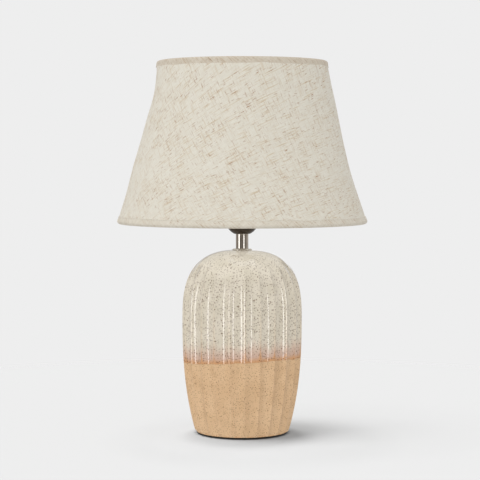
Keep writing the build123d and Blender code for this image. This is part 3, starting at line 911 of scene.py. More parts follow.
def tidy_shell(mesh: bpy.types.Mesh, crease: float = CREASE) -> None:
    """Point the faces of a closed shell outwards and shade it smooth between its edges.

    Args:
        mesh: The closed mesh.
        crease: Degrees from which an edge stays sharp.
    """
    work = bmesh.new()
    work.from_mesh(mesh)
    bmesh.ops.recalc_face_normals(work, faces=work.faces)
    work.to_mesh(mesh)
    work.free()
    shade_between_edges(mesh, crease)


def stepped(bore: float, steps: Sequence[tuple[float, float, float]]) -> list[Point]:
    """Corners of a ring whose outside goes up in steps.

    Args:
        bore: Radius of its hole, 0 for none.
        steps: Radius, lower end and upper end of each step, from below.

    Returns:
        Radius and height of each corner.
    """
    corners = [(bore, steps[0][1])]
    for radius, low, high in steps:
        corners += [(radius, low), (radius, high)]
    return corners + [(bore, steps[-1][2])]


def rounded(corners: Sequence[Point], radius: float, steps: int = 4,
            most_share: float = 0.45) -> list[Point]:
    """Round the corners of a closed outline, except those on the axis.

    Args:
        corners: Radius and height of each corner.
        radius: How far from a corner the rounding starts.
        steps: Points that replace each corner, less one.
        most_share: Most of a side that one corner takes up.

    Returns:
        The rounded outline.
    """
    outline: list[Point] = []
    for index, corner in enumerate(corners):
        if corner[0] == 0:
            outline.append(corner)
            continue
        here = np.array(corner)
        ends = []
        for other in (corners[index - 1], corners[(index + 1) % len(corners)]):
            way = np.array(other) - here
            length = np.linalg.norm(way)
            ends.append(here + way / length * min(radius, most_share * length))
        for step in range(steps + 1):
            t = step / steps
            bend = (1 - t) ** 2 * ends[0] + 2 * t * (1 - t) * here + t * t * ends[1]
            outline.append((float(bend[0]), float(bend[1])))
    return outline


def arc(centre: Point, radius: float, start: float, end: float, steps: int) -> list[Point]:
    """Points on an arc of a circle.

    Args:
        centre: Radius and height of its centre.
        radius: Its radius.
        start: Angle of the first point above the level, in degrees.
        end: Angle of the last point.
        steps: Number of steps between them.

    Returns:
        The points, ends included.
    """
    angles = np.radians(np.linspace(start, end, steps + 1))
    return [(centre[0] + radius * math.cos(a), centre[1] + radius * math.sin(a)) for a in angles]


class Workshop:
    """Holds the finishes and makes, dresses and settles the pieces."""

    def __init__(self) -> None:
        """Build the shared groups, every finish and the turning tree."""
        self.effects = Effects()
        self.materials = {finish.slot: finish.make(self.effects) for finish in FINISHES}
        self.turning = TurnedTree()

    @staticmethod
    def piece(name: str, mesh: bpy.types.Mesh) -> bpy.types.Object:
        """Make an object of a mesh and put it in the scene.

        Args:
            name: Name of the piece.
            mesh: Its mesh.

        Returns:
            The object.
        """
        made = bpy.data.objects.new(name, mesh)
        bpy.context.scene.collection.objects.link(made)
        return made

    def turned(self, name: str, outline: Sequence[Sequence[float]], slot: Slot, columns: int = 128,
               **grooves: object) -> bpy.types.Object:
        """Turn a closed outline about the axis.

        Args:
            name: Name of the piece.
            outline: Radius and height of each point, and as a third number its share of the groove depth.
            slot: Its finish.
            columns: Number of columns round the axis.
            grooves: Inputs of the turning tree for the grooves, spaces in their names as underscores.

        Returns:
            The piece as a plain mesh.
        """
        points = [(p[0], p[2] if len(p) > 2 else 0.0, p[1]) for p in outline]
        mesh = bpy.data.meshes.new(name)
        mesh.from_pydata(points, [], [])
        made = self.piece(name, mesh)
        values = {"Columns": columns, "Finish": self.materials[slot], "Grooves": 0, "Groove Depth": 0.0}
        values["Groove Roundness"] = TurnedTree.ROUNDNESS
        values |= {label.replace("_", " "): value for label, value in grooves.items()}
        self.turning.apply(made, values)
        tidy_shell(made.data)
        return made

    @staticmethod
    def let_light_past(made: bpy.types.Object) -> None:
        """Keep thin cloth, and what hangs in its glow, from shading the pieces round it."""
        made.visible_diffuse = False
        made.visible_shadow = False

    def settle(self, made: bpy.types.Object, body: Body, slot: Slot, node: str) -> None:
        """Let a piece ride on its body and stand for its CAD node.

        Args:
            made: The piece.
            body: The body it moves with.
            slot: The record's slot of its finish.
            node: CAD node that it stands for.
        """
        if not made.data.materials:
            made.data.materials.append(self.materials[slot])
        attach(made, body.value)
        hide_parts(node)
        log.info("%s: %d faces on %s", made.name, len(made.data.polygons), body.value)

    def dress(self, slot: Slot, *nodes: str) -> None:
        """Give CAD nodes that stay a better material.

        Args:
            slot: The finish.
            nodes: Names of the nodes.
        """
        for node in nodes:
            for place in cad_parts[node].material_slots:
                place.material = self.materials[slot]
            log.info("%s: dressed as %s", node, slot.value)


@dataclass(frozen=True)
class CableHole:
    """Hole for the cable through the back of the foot, and the flat round it."""

    level: float = 10 * MM
    face: float = 44.525 * MM    # from the lamp's axis to the flat

    def aim(self, made: bpy.types.Object) -> None:
        """Lay a form that was turned about the upright axis along the hole."""
        upright_to_back = Matrix.Rotation(-math.pi / 2, 4, "X")
        made.data.transform(Matrix.Translation((0, 0, self.level)) @ upright_to_back)


CABLE_HOLE = CableHole()


@dataclass
class StonewareBody:
    """Fluted hollow body with its recessed foot and cable hole."""

    foot_level: float = 2 * MM
    belly_level: float = 115 * MM
    top_level: float = 184 * MM
    belly_radius: float = 60 * MM
    foot_radius: float = 47.2 * MM
    foot_roll: tuple[tuple[float, float, float], ...] = (  # inwards, upwards, share of the flute depth
        (1.5 * MM, 0.0, 0.0),
        (0.8 * MM, 0.25 * MM, 0.5),
        (0.3 * MM, 0.8 * MM, 0.68),
    )
    roll_height: float = 1.6 * MM
    sole_share: float = 0.4      # where a loop of edges parts the sole
    neck_radius: float = 12.5 * MM
    taper_power: float = 2.5
    dome_power: float = 2.75
    side_steps: tuple[int, int] = (86, 76)  # below and above the widest height
    wall: float = 7.5 * MM
    wall_steps: tuple[int, int] = (10, 12)
    recess_radius: float = 38.2 * MM
    ledge_level: float = 16 * MM
    floor_level: float = 22 * MM
    floor_hole: float = 24 * MM
    rod_hole: float = 5.3 * MM
    seat_radius: float = 8.15 * MM
    seat_depth: float = 1 * MM
    flutes: int = 24
    flute_columns: int = 20
    flute_depth: float = 3.3 * MM
    flute_turn: float = 2.4      # degrees
    ridge_softness: float = 0.16
    foot_share: float = 0.75     # flute depth at the foot beside the full depth
    full_height: float = 30 * MM  # above the foot, where the flutes reach their full depth
    fade_start: float = 0.45     # shares of the dome's height between which the flutes fade out
    fade_end: float = 0.93
    inlet_radius: float = 4.25 * MM
    spot_radius: float = 6.1 * MM

    def side(self, inset: float, start: float, taper_steps: int, dome_steps: int) -> list[Point]:
        """Radius and height up the side, from a starting height to the neck.

        Args:
            inset: How far inside the outer face.
            start: Height of the first point.
            taper_steps: Steps below the widest height.
            dome_steps: Steps above it.

        Returns:
            The points.
        """
        widest, foot = self.belly_radius - inset, self.foot_radius - inset
        rise = self.top_level - inset - self.belly_level
        bend = 2 / self.dome_power
        points = []
        for level in np.linspace(start, self.belly_level, taper_steps, endpoint=False):
            share = (self.belly_level - level) / (self.belly_level - self.foot_level)
            points.append((widest - (widest - foot) * share ** self.taper_power, float(level)))
        end = math.acos((self.neck_radius / widest) ** (1 / bend))
        full = rise / math.sin(end) ** bend
        for step in range(dome_steps + 1):
            angle = end * step / dome_steps
            level = self.belly_level + full * math.sin(angle) ** bend
            points.append((widest * math.cos(angle) ** bend, level))
        return points

    def flute_share(self, level: float) -> float:
        """Share of the full flute depth at a height.

        Args:
            level: The height.

        Returns:
            0 where the surface is smooth, 1 where the flutes are at their deepest.
        """
        climb = (level - self.belly_level) / (self.top_level - self.belly_level)
        fade = min(max((climb - self.fade_start) / (self.fade_end - self.fade_start), 0), 1)
        upper = 1 - fade * fade * (3 - 2 * fade)
        growth = (1 - self.foot_share) * (level - self.foot_level) / self.full_height
        return upper * min(self.foot_share + growth, 1)

    def outline(self) -> list[tuple[float, float, float]]:
        """Closed outline of the wall: up the outer face, down through the neck, back along the cavity.

        Returns:
            Radius, height and flute share of each point.
        """
        foot, edge = self.foot_level, self.foot_radius
        sole = self.recess_radius + self.sole_share * (edge - self.recess_radius)
        outer = [(self.recess_radius, foot, 0.0), (sole, foot, 0.0)]
        outer += [(edge - inwards, foot + up, share) for inwards, up, share in self.foot_roll]
        side = self.side(0.0, foot + self.roll_height, *self.side_steps)
        outer += [(radius, level, self.flute_share(level)) for radius, level in side]
        cavity = self.side(self.wall, self.floor_level, *self.wall_steps)[::-1]
        seat = self.top_level - self.seat_depth
        inner = [(self.seat_radius, self.top_level), (self.seat_radius, seat), (self.rod_hole, seat)]
        inner += [(self.rod_hole, cavity[0][1]), *cavity]
        inner += [(self.floor_hole, self.floor_level), (self.floor_hole, self.ledge_level)]
        inner += [(self.recess_radius, self.ledge_level)]
        return outer + [(radius, level, 0.0) for radius, level in inner]

    def cut_inlet(self, shop: Workshop, made: bpy.types.Object) -> None:
        """Cut the cable hole and its flat through the back of the foot.

        Args:
            shop: The workshop.
            made: The body.
        """
        near, far = self.recess_radius / 2, 2 * self.foot_radius
        hole = (self.inlet_radius, near, CABLE_HOLE.face)
        flat = (self.spot_radius, CABLE_HOLE.face, far)
        cutter = shop.turned("inlet_cutter", stepped(0, (hole, flat)), Slot.STONEWARE, columns=64)
        CABLE_HOLE.aim(cutter)
        cut = made.modifiers.new("inlet", "BOOLEAN")
        cut.operation = "DIFFERENCE"
        cut.solver = "EXACT"
        cut.object = cutter
        plain_mesh(made)
        bpy.data.objects.remove(cutter)
        made.data.materials.clear()
        made.data.materials.append(shop.materials[Slot.STONEWARE])
        shade_between_edges(made.data)

    def build(self, shop: Workshop) -> None:
        """Make the body and settle it.

        Args:
            shop: The workshop.
        """
        made = shop.turned(
            "stoneware", self.outline(), Slot.STONEWARE, columns=self.flute_columns * self.flutes,
            Grooves=self.flutes, Groove_Depth=self.flute_depth, Groove_Turn=math.radians(self.flute_turn),
            Ridge_Softness=self.ridge_softness)
        self.cut_inlet(shop, made)
        shop.settle(made, Body.BASE, Slot.STONEWARE, "stoneware_body")


@dataclass
class Foot:
    """Black pad under the foot, the clamping hardware above it and the cable grommet at the back."""

    pad_radius: float = 45.5 * MM
    pad_thickness: float = 2 * MM
    pad_edge: float = 0.5 * MM
    bore_radius: float = 3.25 * MM
    barrel_radius: float = 4.1 * MM
    flange_radius: float = 5.8 * MM
    lip_radius: float = 4.9 * MM
    lip_start: float = 35.98 * MM  # from the lamp's axis
    rim: float = 1.6 * MM
    rim_edge: float = 0.6 * MM

    def pad(self, shop: Workshop) -> None:
        """Make the felt pad with its soft cut edge.

        Args:
            shop: The workshop.
        """
        corners = stepped(0, [(self.pad_radius, 0.0, self.pad_thickness)])
        made = shop.turned("felt_foot", rounded(corners, self.pad_edge), Slot.FELT, columns=144)
        shop.settle(made, Body.BASE, Slot.FELT, "felt_pad")

    def grommet(self, shop: Workshop) -> None:
        """Make the rubber grommet in the cable hole.

        Args:
            shop: The workshop.
        """
        lip_end = self.lip_start + self.rim
        lip = (self.lip_radius, self.lip_start, lip_end)
        barrel = (self.barrel_radius, lip_end, CABLE_HOLE.face)
        flange = (self.flange_radius, CABLE_HOLE.face, CABLE_HOLE.face + self.rim)
        corners = stepped(self.bore_radius, (lip, barrel, flange))
        made = shop.turned("cable_sleeve", rounded(corners, self.rim_edge), Slot.BLACK_RUBBER, columns=72)
        CABLE_HOLE.aim(made)
        shop.settle(made, Body.BASE, Slot.BLACK_RUBBER, "cable_grommet")

    def build(self, shop: Workshop) -> None:
        """Make the soft and rubber pieces and dress the hardware.

        Args:
            shop: The workshop.
        """
        self.pad(shop)
        self.grommet(shop)
        shop.dress(Slot.ZINC_STEEL, "base_plate", "lock_washer", "bottom_nut", "hollow_rod")


@dataclass
class Neck:
    """Bright washer and tube between the body and the holder."""

    bore_radius: float = 5.3 * MM
    washer_radius: float = 10 * MM
    washer_level: float = 184 * MM
    washer_thickness: float = 1.5 * MM
    washer_rim: float = 0.35     # share of the thickness that stands upright
    washer_edge: float = 0.3 * MM
    tube_radius: float = 6.4 * MM
    tube_top: float = 200.3 * MM
    tube_edge: float = 0.25 * MM

    def build(self, shop: Workshop) -> None:
        """Make the washer and the tube and dress the gasket.

        Args:
            shop: The workshop.
        """
        low, top = self.washer_level, self.washer_level + self.washer_thickness
        rim = (self.washer_radius, low + self.washer_rim * self.washer_thickness)
        slope = (self.washer_radius - self.washer_thickness, top)
        washer = [(self.bore_radius, low), (self.washer_radius, low), rim, slope, (self.bore_radius, top)]
        tube = stepped(self.bore_radius, [(self.tube_radius, top, self.tube_top)])
        pieces = (
            ("neck_collar", rounded(washer, self.washer_edge), "neck_washer"),
            ("neck_sleeve", rounded(tube, self.tube_edge), "neck_tube"),
        )
        for name, outline, node in pieces:
            made = shop.turned(name, outline, Slot.NICKEL, columns=96)
            shop.settle(made, Body.BASE, Slot.NICKEL, node)
        shop.dress(Slot.BLACK_RUBBER, "neck_gasket")


@dataclass
class LampHolder:
    """Screw holder and the ring nut that clamps the shade on it."""

    nut_radius: float = 20 * MM
    nut_bore: float = 14.25 * MM
    nut_level: float = 223 * MM
    nut_height: float = 7 * MM
    nut_edge: float = 0.6 * MM
    grips: int = 30
    grip_columns: int = 12
    grip_depth: float = 0.6 * MM
    grip_band: float = 1 * MM    # how far in from the outside the grips reach
    grip_softness: float = 0.25

    def ring_nut(self, shop: Workshop) -> None:
        """Make the ring nut with its grips.

        Args:
            shop: The workshop.
        """
        top = self.nut_level + self.nut_height
        corners = stepped(self.nut_bore, [(self.nut_radius, self.nut_level, top)])
        smooth_radius = self.nut_radius - self.grip_band
        outline = [(r, z, 1.0 if r > smooth_radius else 0.0) for r, z in rounded(corners, self.nut_edge)]
        nut = shop.turned(
            "clamp_ring", outline, Slot.BLACK_PLASTIC, columns=self.grip_columns * self.grips,
            Grooves=self.grips, Groove_Depth=self.grip_depth, Groove_Turn=0.0,
            Ridge_Softness=self.grip_softness)
        shop.settle(nut, Body.RING_NUT, Slot.BLACK_PLASTIC, "shade_ring")
        shop.let_light_past(nut)

    def build(self, shop: Workshop) -> None:
        """Make the ring nut and dress the holder's own pieces.

        Args:
            shop: The workshop.
        """
        self.ring_nut(shop)
        shop.dress(Slot.BLACK_PLASTIC, "holder_cap", "holder_sleeve")
        for node in ("holder_cap", "holder_sleeve"):
            shop.let_light_past(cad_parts[node])
            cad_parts[node].visible_glossy = False  # keeps the bright neck and glaze free of them
        shop.dress(Slot.WHITE_PLASTIC, "contact_carrier")
        shop.dress(Slot.ZINC_STEEL, "rod_lock_screw")
        shop.dress(Slot.BRASS, "terminal_screws", "centre_contact", "screw_shell")


@dataclass
class Bulb:
    """Bulb with a flared white housing and an opal globe."""

    collar_radius: float = 8.8 * MM
    housing_level: float = 247.5 * MM
    collar_height: float = 2 * MM
    globe_radius: float = 22.5 * MM
    globe_level: float = 285 * MM
    globe_wall: float = 1.2 * MM
    globe_steps: tuple[int, int] = (36, 24)  # outside and inside
    seam_drop: float = 9.5 * MM
    seam_edge: Point = (0.3 * MM, 0.4 * MM)  # how far in and down the housing's rim is broken
    flare_share: float = 0.42    # share of its width that the flare has gained half way up
    flare_rows: int = 20

    @property
    def seam_level(self) -> float:
        """Height at which the globe meets the housing."""
        return self.globe_level - self.seam_drop

    def dome(self, radius: float, steps: int) -> list[Point]:
        """One face of the globe, from the seam to the top.

        Args:
            radius: Radius of the face.
            steps: Steps along it.

        Returns:
            The points.
        """
        start = -math.degrees(math.asin(self.seam_drop / radius))
        points = arc((0.0, self.globe_level), radius, start, 90, steps)
        return points[:-1] + [(0.0, self.globe_level + radius)]

    def housing(self) -> list[Point]:
        """Outline of the housing: a collar that flares out to the seam.

        Returns:
            The points.
        """
        seam_radius = math.sqrt(self.globe_radius ** 2 - self.seam_drop ** 2)
        low = self.housing_level + self.collar_height
        outline = [(0.0, self.housing_level), (self.collar_radius, self.housing_level)]
        for share in np.linspace(0, 1, self.flare_rows)[:-1]:
            swell = share + (self.flare_share - 0.5) * 4 * share * (1 - share)
            radius = self.collar_radius + (seam_radius - self.collar_radius) * swell
            outline.append((radius, low + (self.seam_level - low) * share))
        inwards, down = self.seam_edge
        outline += [(seam_radius, self.seam_level - down), (seam_radius - inwards, self.seam_level)]
        return outline + [(0.0, self.seam_level)]

    def build(self, shop: Workshop) -> None:
        """Make the globe and the housing and dress the small parts of the cap.

        Args:
            shop: The workshop.
        """
        faces = zip((self.globe_radius, self.globe_radius - self.globe_wall), self.globe_steps)
        outside, inside = [self.dome(radius, steps) for radius, steps in faces]
        globe = shop.turned("opal_globe", outside + inside[::-1], Slot.OPAL)
        shop.settle(globe, Body.BULB, Slot.OPAL, "bulb_globe")
        shop.let_light_past(globe)
        housing = shop.turned("bulb_flare", self.housing(), Slot.WHITE_PLASTIC)
        shop.settle(housing, Body.BULB, Slot.WHITE_PLASTIC, "bulb_housing")
        shop.dress(Slot.SOLDER, "bulb_tip")
        shop.dress(Slot.BLACK_GLASS, "bulb_insulator")
        shop.dress(Slot.NICKEL, "bulb_screw_cap")
        shop.dress(Slot.WHITE_BOARD, "bulb_board")


@dataclass
class ShadeFrame:
    """Wire frame of the shade: two rings, six struts, three arms and the flat fitter."""

    struts: int = STRUTS
    arms: int = 3

    def build(self, shop: Workshop) -> None:
        """Dress the frame.

        Args:
            shop: The workshop.
        """
        shop.dress(Slot.WHITE_WIRE, "bottom_ring", "top_ring", "fitter_ring")
        shop.dress(Slot.WHITE_WIRE, *[f"frame_strut_{index + 1}" for index in range(self.struts)])
        shop.dress(Slot.WHITE_WIRE, *[f"fitter_arm_{index + 1}" for index in range(self.arms)])


Surface = Callable[[np.ndarray, np.ndarray], np.ndarray]


def band_mesh(name: str, size: tuple[int, int], place: Surface, flat: Surface,
              loop: bool) -> bpy.types.Mesh:
    """Closed band round the axis, with its flat coordinates as a UV map.

    Args:
        name: Name of the mesh.
        size: Columns round the axis, counted from the back, and rows across the band.
        place: Points for arrays of turn and row.
        flat: Flat coordinates for arrays of turn and row.
        loop: Whether the last row joins the first.

    Returns:
        The mesh.
    """
    columns, rows = size
    turn, row = np.meshgrid(np.arange(columns), np.arange(rows), indexing="ij")
    points = place(turn * FULL_TURN / columns, row).reshape(-1, 3)
    left, low = np.meshgrid(np.arange(columns), np.arange(rows if loop else rows - 1), indexing="ij")
    corner_turn = np.stack([left, left + 1, left + 1, left], axis=-1).reshape(-1, 4)
    corner_row = np.stack([low, low, low + 1, low + 1], axis=-1).reshape(-1, 4)
    faces = (corner_turn % columns) * rows + corner_row % rows
    mesh = bpy.data.meshes.new(name)
    mesh.from_pydata(points.tolist(), [], faces.tolist())
    layer = mesh.uv_layers.new(name=FLAT)
    cut = flat(corner_turn * FULL_TURN / columns, corner_row).reshape(-1, 2)
    layer.data.foreach_set("uv", cut.astype(np.float32).ravel())
    mesh.shade_smooth()
    return mesh


def bump_at(value: np.ndarray, middle: float, width: float) -> np.ndarray:
    """Bell-shaped rise round a middle value."""
    return np.exp(-((value - middle) / width) ** 2)


@dataclass(frozen=True)
class Ripples:
    """Smooth uneven waves that close round the axis."""

    height: float
    most_waves: int              # in one turn
    waves: int = 9               # laid over each other
    up_share: float = 0.1        # most half waves from place 0 to place 1, by the waves in a turn
    evening: float = 4.0         # brings the waves' sum back to about -1 to 1

    def at(self, turn: np.ndarray, place: np.ndarray, seed: int) -> np.ndarray:
        """Height of the waves.

        Args:
            turn: Angles from the back.
            place: Places across the band.
            seed: Fixed seed of the waves.

        Returns:
            The height at each place.
        """
        draw = np.random.default_rng(seed)
        most_up = self.most_waves * self.up_share
        total = np.zeros(np.broadcast(turn, place).shape)
        for _ in range(self.waves):
            round_waves = draw.integers(2, self.most_waves)
            up_waves = draw.uniform(-most_up, most_up)
            total += np.sin(round_waves * turn + up_waves * math.pi * place + draw.uniform(0, FULL_TURN))
        return self.height * total / self.evening


@dataclass(frozen=True)
class Slack:
    """Loose place in one panel of the shade."""

    facing: float                # degrees against the clock from the right, seen from above
    depth: float                 # how far it sinks in; below 0 it stands out
    level: float                 # shares of the shade's height
    width: float


@dataclass(frozen=True)
class Layer:
    """One layer of cloth stretched on the frame."""

    name: str
    slot: Slot
    node: str                    # the CAD node that it stands for
    outer: float                 # from the frame line to its outer face
    thickness: float
    ends: Span                   # shares of the height at which it starts and ends
    lap: float                   # how far the overlap at the back stands out


class Legs(Enum):
    """Way in which the legs of a folded tape point: up from the bottom ring or down from the top one."""

    UP = 1
    DOWN = -1


@dataclass(frozen=True)
class Tape:
    """Tape folded over a ring of the frame."""

    name: str
    node: str
    finish: ClothFinish
    legs: Legs
    seed: int                    # of its unevenness


@dataclass
class ClothShade:
    """Linen cover, lining and the two folded tapes on the wire frame."""

    bottom_ring: Point = (122.25 * MM, 213.35 * MM)
    top_ring: Point = (82.75 * MM, 369.65 * MM)
    waist: float = 2.6 * MM
    struts: int = STRUTS
    strut_turn: float = 30.0     # degrees
    columns: int = 360
    rows: int = 96
    layers: tuple[Layer, ...] = (
        Layer("linen_cover", Slot.LINEN, "shade_cover", 2.05 * MM, 0.5 * MM, (0.004, 1.0), 0.35 * MM),
        Layer("inner_lining", Slot.LINING, "shade_lining", -1.55 * MM, 0.4 * MM, (0.019, 0.981), 0.0),
    )
    seam_lap: float = 9 * MM     # width of the overlap at the back
    unevenness: Ripples = Ripples(0.1 * MM, 40)
    uneven_seed: int = 11
    panel_pull: float = 0.7 * MM  # how far the cloth draws in between two struts
    held_ends: float = 0.05       # share of the height in which the rings hold it
    slack: tuple[Slack, ...] = (
        Slack(180, 2.6 * MM, 0.82, 0.13),
        Slack(180, -1.3 * MM, 0.36, 0.16),
        Slack(0, 0.9 * MM, 0.3, 0.16),
        Slack(0, -0.7 * MM, 0.72, 0.16),
    )
    # Each tape takes its own painted-light copy of the tape cloth: lighter on the hem, darker on the crown.
    tapes: tuple[Tape, ...] = (
        Tape("hem_tape", "bottom_tape", HEM_TAPE_PAINTED_LIGHTER, Legs.UP, 21),
        Tape("crown_tape", "top_tape", CROWN_TAPE_PAINTED_DARKER, Legs.DOWN, 31),
    )
    tape_inner: float = 2.1 * MM
    tape_outer: float = 2.75 * MM
    tape_height: float = 4.0 * MM
    tape_taper: float = 0.35 * MM  # how much thinner the outer leg is at its end
    tape_crease: float = 60.0    # degrees from which an edge of a tape stays sharp
    leg_points: int = 6
    fold_steps: tuple[int, int, int] = (22, 16, 4)  # round the outside, the inside and a leg's end
    pucker: Ripples = Ripples(0.07 * MM, 150)
    wander: Ripples = Ripples(0.35 * MM, 24)       # of the legs' ends, up and down

    @property
    def lean(self) -> float:
        """Lean of the side from the upright, in radians."""
        return math.atan2(self.bottom_ring[0] - self.top_ring[0], self.top_ring[1] - self.bottom_ring[1])

    def side_point(self, share: np.ndarray, offset: np.ndarray) -> tuple[np.ndarray, np.ndarray]:
        """Point on the curved side of the frame, moved out across the cloth.

        Args:
            share: 0 at the bottom ring, 1 at the top ring.
            offset: Distance out from the frame line.

        Returns:
            Radius and height.
        """
        low, high = np.array(self.bottom_ring), np.array(self.top_ring)
        chord = np.linalg.norm(high - low)
        way = (high - low) / chord
        out = np.array((way[1], -way[0]))
        bend = (chord ** 2 / 4 + self.waist ** 2) / (2 * self.waist)
        centre = (low + high) / 2 + out * (bend - self.waist)
        angle = (2 * share - 1) * math.asin(chord / 2 / bend)
        reach = bend - offset
        radius = centre[0] + reach * (way[0] * np.sin(angle) - out[0] * np.cos(angle))
        level = centre[1] + reach * (way[1] * np.sin(angle) - out[1] * np.cos(angle))
        return radius, level

    def pull(self, turn: np.ndarray, share: np.ndarray) -> np.ndarray:
        """How far the stretched cloth draws in between the struts.

        Args:
            turn: Angles from the back.
            share: Height from 0 to 1.

        Returns:
            Distance towards the axis.
        """
        degrees = np.degrees(turn) + 90
        panel = np.sin(np.radians((degrees - self.strut_turn) * self.struts / 2)) ** 2
        half_panel = math.cos(math.radians(180 / self.struts))
        drawn = self.panel_pull * np.sin(math.pi * share)
        for place in self.slack:
            inside = np.cos(np.radians(degrees - place.facing)) > half_panel
            drawn = drawn + inside * place.depth * bump_at(share, place.level, place.width)
        ends = np.clip(np.minimum(share, 1 - share) / self.held_ends, 0, 1)
        return panel * drawn * ends

    @staticmethod
    def around(turn: np.ndarray, radius: np.ndarray, level: np.ndarray) -> np.ndarray:
        """Points round the axis for an angle from the back, a radius and a height."""
        return np.stack([-radius * np.sin(turn), radius * np.cos(turn), level], axis=-1)

    def cut_flat(self, turn: np.ndarray, share: np.ndarray) -> np.ndarray:
        """Flat coordinates of the cloth as it was cut, straight grain at the front.

        Args:
            turn: Angles from the back.
            share: Height from 0 to 1.

        Returns:
            Coordinates in metres.
        """
        radius, _ = self.side_point(share, np.zeros_like(share))
        slant = radius / math.sin(self.lean)
        fan = (turn - math.pi) * math.sin(self.lean)
        return np.stack([slant * np.sin(fan), -slant * np.cos(fan)], axis=-1)

    def stretch(self, shop: Workshop, layer: Layer) -> None:
        """Make one layer of stretched cloth.

        Args:
            shop: The workshop.
            layer: What it is.
        """
        start, end = layer.ends

        def share_of(row: np.ndarray) -> np.ndarray:
            """Height share of a row."""
            return start + (end - start) * row / (self.rows - 1)

        def place(turn: np.ndarray, row: np.ndarray) -> np.ndarray:
            """Points of the cloth.

            Args:
                turn: Angles from the back.
                row: Rows, counted from the bottom.

            Returns:
                The points.
            """
            share = share_of(row)
            uneven = self.unevenness.at(turn, share, self.uneven_seed)
            overlap = layer.lap * np.where(turn * self.bottom_ring[0] < self.seam_lap, 1.0, 0.0)
            offset = layer.outer - self.pull(turn, share) + uneven + overlap
            return self.around(turn, *self.side_point(share, offset))

        def flat(turn: np.ndarray, row: np.ndarray) -> np.ndarray:
            """Flat coordinates of the cloth."""
            return self.cut_flat(turn, share_of(row))

        made = shop.piece(layer.name, band_mesh(layer.name, (self.columns, self.rows), place, flat, False))
        wall = made.modifiers.new("thickness", "SOLIDIFY")
        wall.thickness = layer.thickness
        wall.offset = -1.0
        shop.settle(made, Body.SHADE, layer.slot, layer.node)
        shop.let_light_past(made)

    def tape_section(self) -> np.ndarray:
        """Closed section of a folded tape: round its outside, then back round its inside.

        Returns:
            Distance out from the ring's centre and height of each point, with the legs up.
        """
        middle, half = (self.tape_inner + self.tape_outer) / 2, (self.tape_outer - self.tape_inner) / 2
        outside, inside, end = self.fold_steps
        shoulder = self.tape_height - half
        legs = np.linspace(shoulder, 0, self.leg_points)[:-1]
        taper = self.tape_taper / self.tape_height
        outer = [(self.tape_outer - taper * leg, leg) for leg in legs]
        outer += arc((0, 0), self.tape_outer, 0, -180, outside)
        outer += [(-self.tape_outer, leg) for leg in legs[::-1]]
        inner = [(-self.tape_inner, leg) for leg in legs]
        inner += arc((0, 0), self.tape_inner, -180, 0, inside)
        inner += [(self.tape_inner, leg) for leg in legs[::-1]]
        inner_end, outer_end = [arc((x, shoulder), half, 180, 0, end)[1:-1] for x in (-middle, middle)]
        return np.array(outer + inner_end + inner + outer_end)

    def fold(self, shop: Workshop, tape: Tape) -> None:
        """Make a tape folded over a ring.

        Args:
            shop: The workshop.
            tape: What it is.
        """
        section = self.tape_section()
        runs = np.linalg.norm(np.roll(section, -1, axis=0) - section, axis=1)
        marks = np.concatenate([[0.0], np.cumsum(runs)])
        upward = tape.legs.value
        ring = self.bottom_ring if tape.legs is Legs.UP else self.top_ring
        curl = 2 * math.atan2(2 * self.waist, math.dist(self.bottom_ring, self.top_ring))
        lean = self.lean + curl * upward

        def place(turn: np.ndarray, row: np.ndarray) -> np.ndarray:
            """Points of the tape.

            Args:
                turn: Angles from the back.
                row: Points of the section.

            Returns:
                The points.
            """
            across, up = section[row, 0], section[row, 1]
            leg = np.sign(across)
            wander = self.wander.at(turn, leg, tape.seed + 1) * np.clip(up / self.tape_height, 0, 1)
            across = across * (1 + self.pucker.at(turn, leg, tape.seed) / self.tape_outer)
            up = (up + wander) * upward
            radius = ring[0] + across * math.cos(lean) - up * math.sin(lean)
            level = ring[1] + across * math.sin(lean) + up * math.cos(lean)
            return self.around(turn, radius, level)

        def flat(turn: np.ndarray, row: np.ndarray) -> np.ndarray:
            """Flat coordinates of the tape."""
            return np.stack([turn * ring[0], -marks[row] * upward], axis=-1)

        size = (2 * self.columns, len(section))
        made = shop.piece(tape.name, band_mesh(tape.name, size, place, flat, True))
        tidy_shell(made.data, self.tape_crease)
        made.data.materials.append(tape.finish.make(shop.effects))
        shop.settle(made, Body.SHADE, tape.finish.slot, tape.node)
        shop.let_light_past(made)

    def build(self, shop: Workshop) -> None:
        """Make the cover, the lining and the tapes.

        Args:
            shop: The workshop.
        """
        for layer in self.layers:
            self.stretch(shop, layer)
        for tape in self.tapes:
            self.fold(shop, tape)


@dataclass(frozen=True)
class StudioSun:
    """Broad soft light from one direction, without falloff."""

    name: str
    azimuth: float               # degrees to the right of the camera
    elevation: float
    level: float                 # brightness of a white surface that faces it
    spread: float                # how wide the light looks, in degrees

    def build(self) -> bpy.types.Object:
        """Put the light in the scene.

        Returns:
            The light.
        """
        light = bpy.data.lights.new(self.name, "SUN")
        light.energy = self.level * math.pi
        light.angle = math.radians(self.spread)
        lamp = bpy.data.objects.new(self.name, light)
        lamp.rotation_euler = (math.radians(90 - self.elevation), 0, math.radians(self.azimuth))
        lamp.visible_glossy = False
        bpy.context.scene.collection.objects.link(lamp)
        return lamp

    def on_floor(self) -> float:
        """Brightness that it gives a white floor."""
        return self.level * math.sin(math.radians(self.elevation))


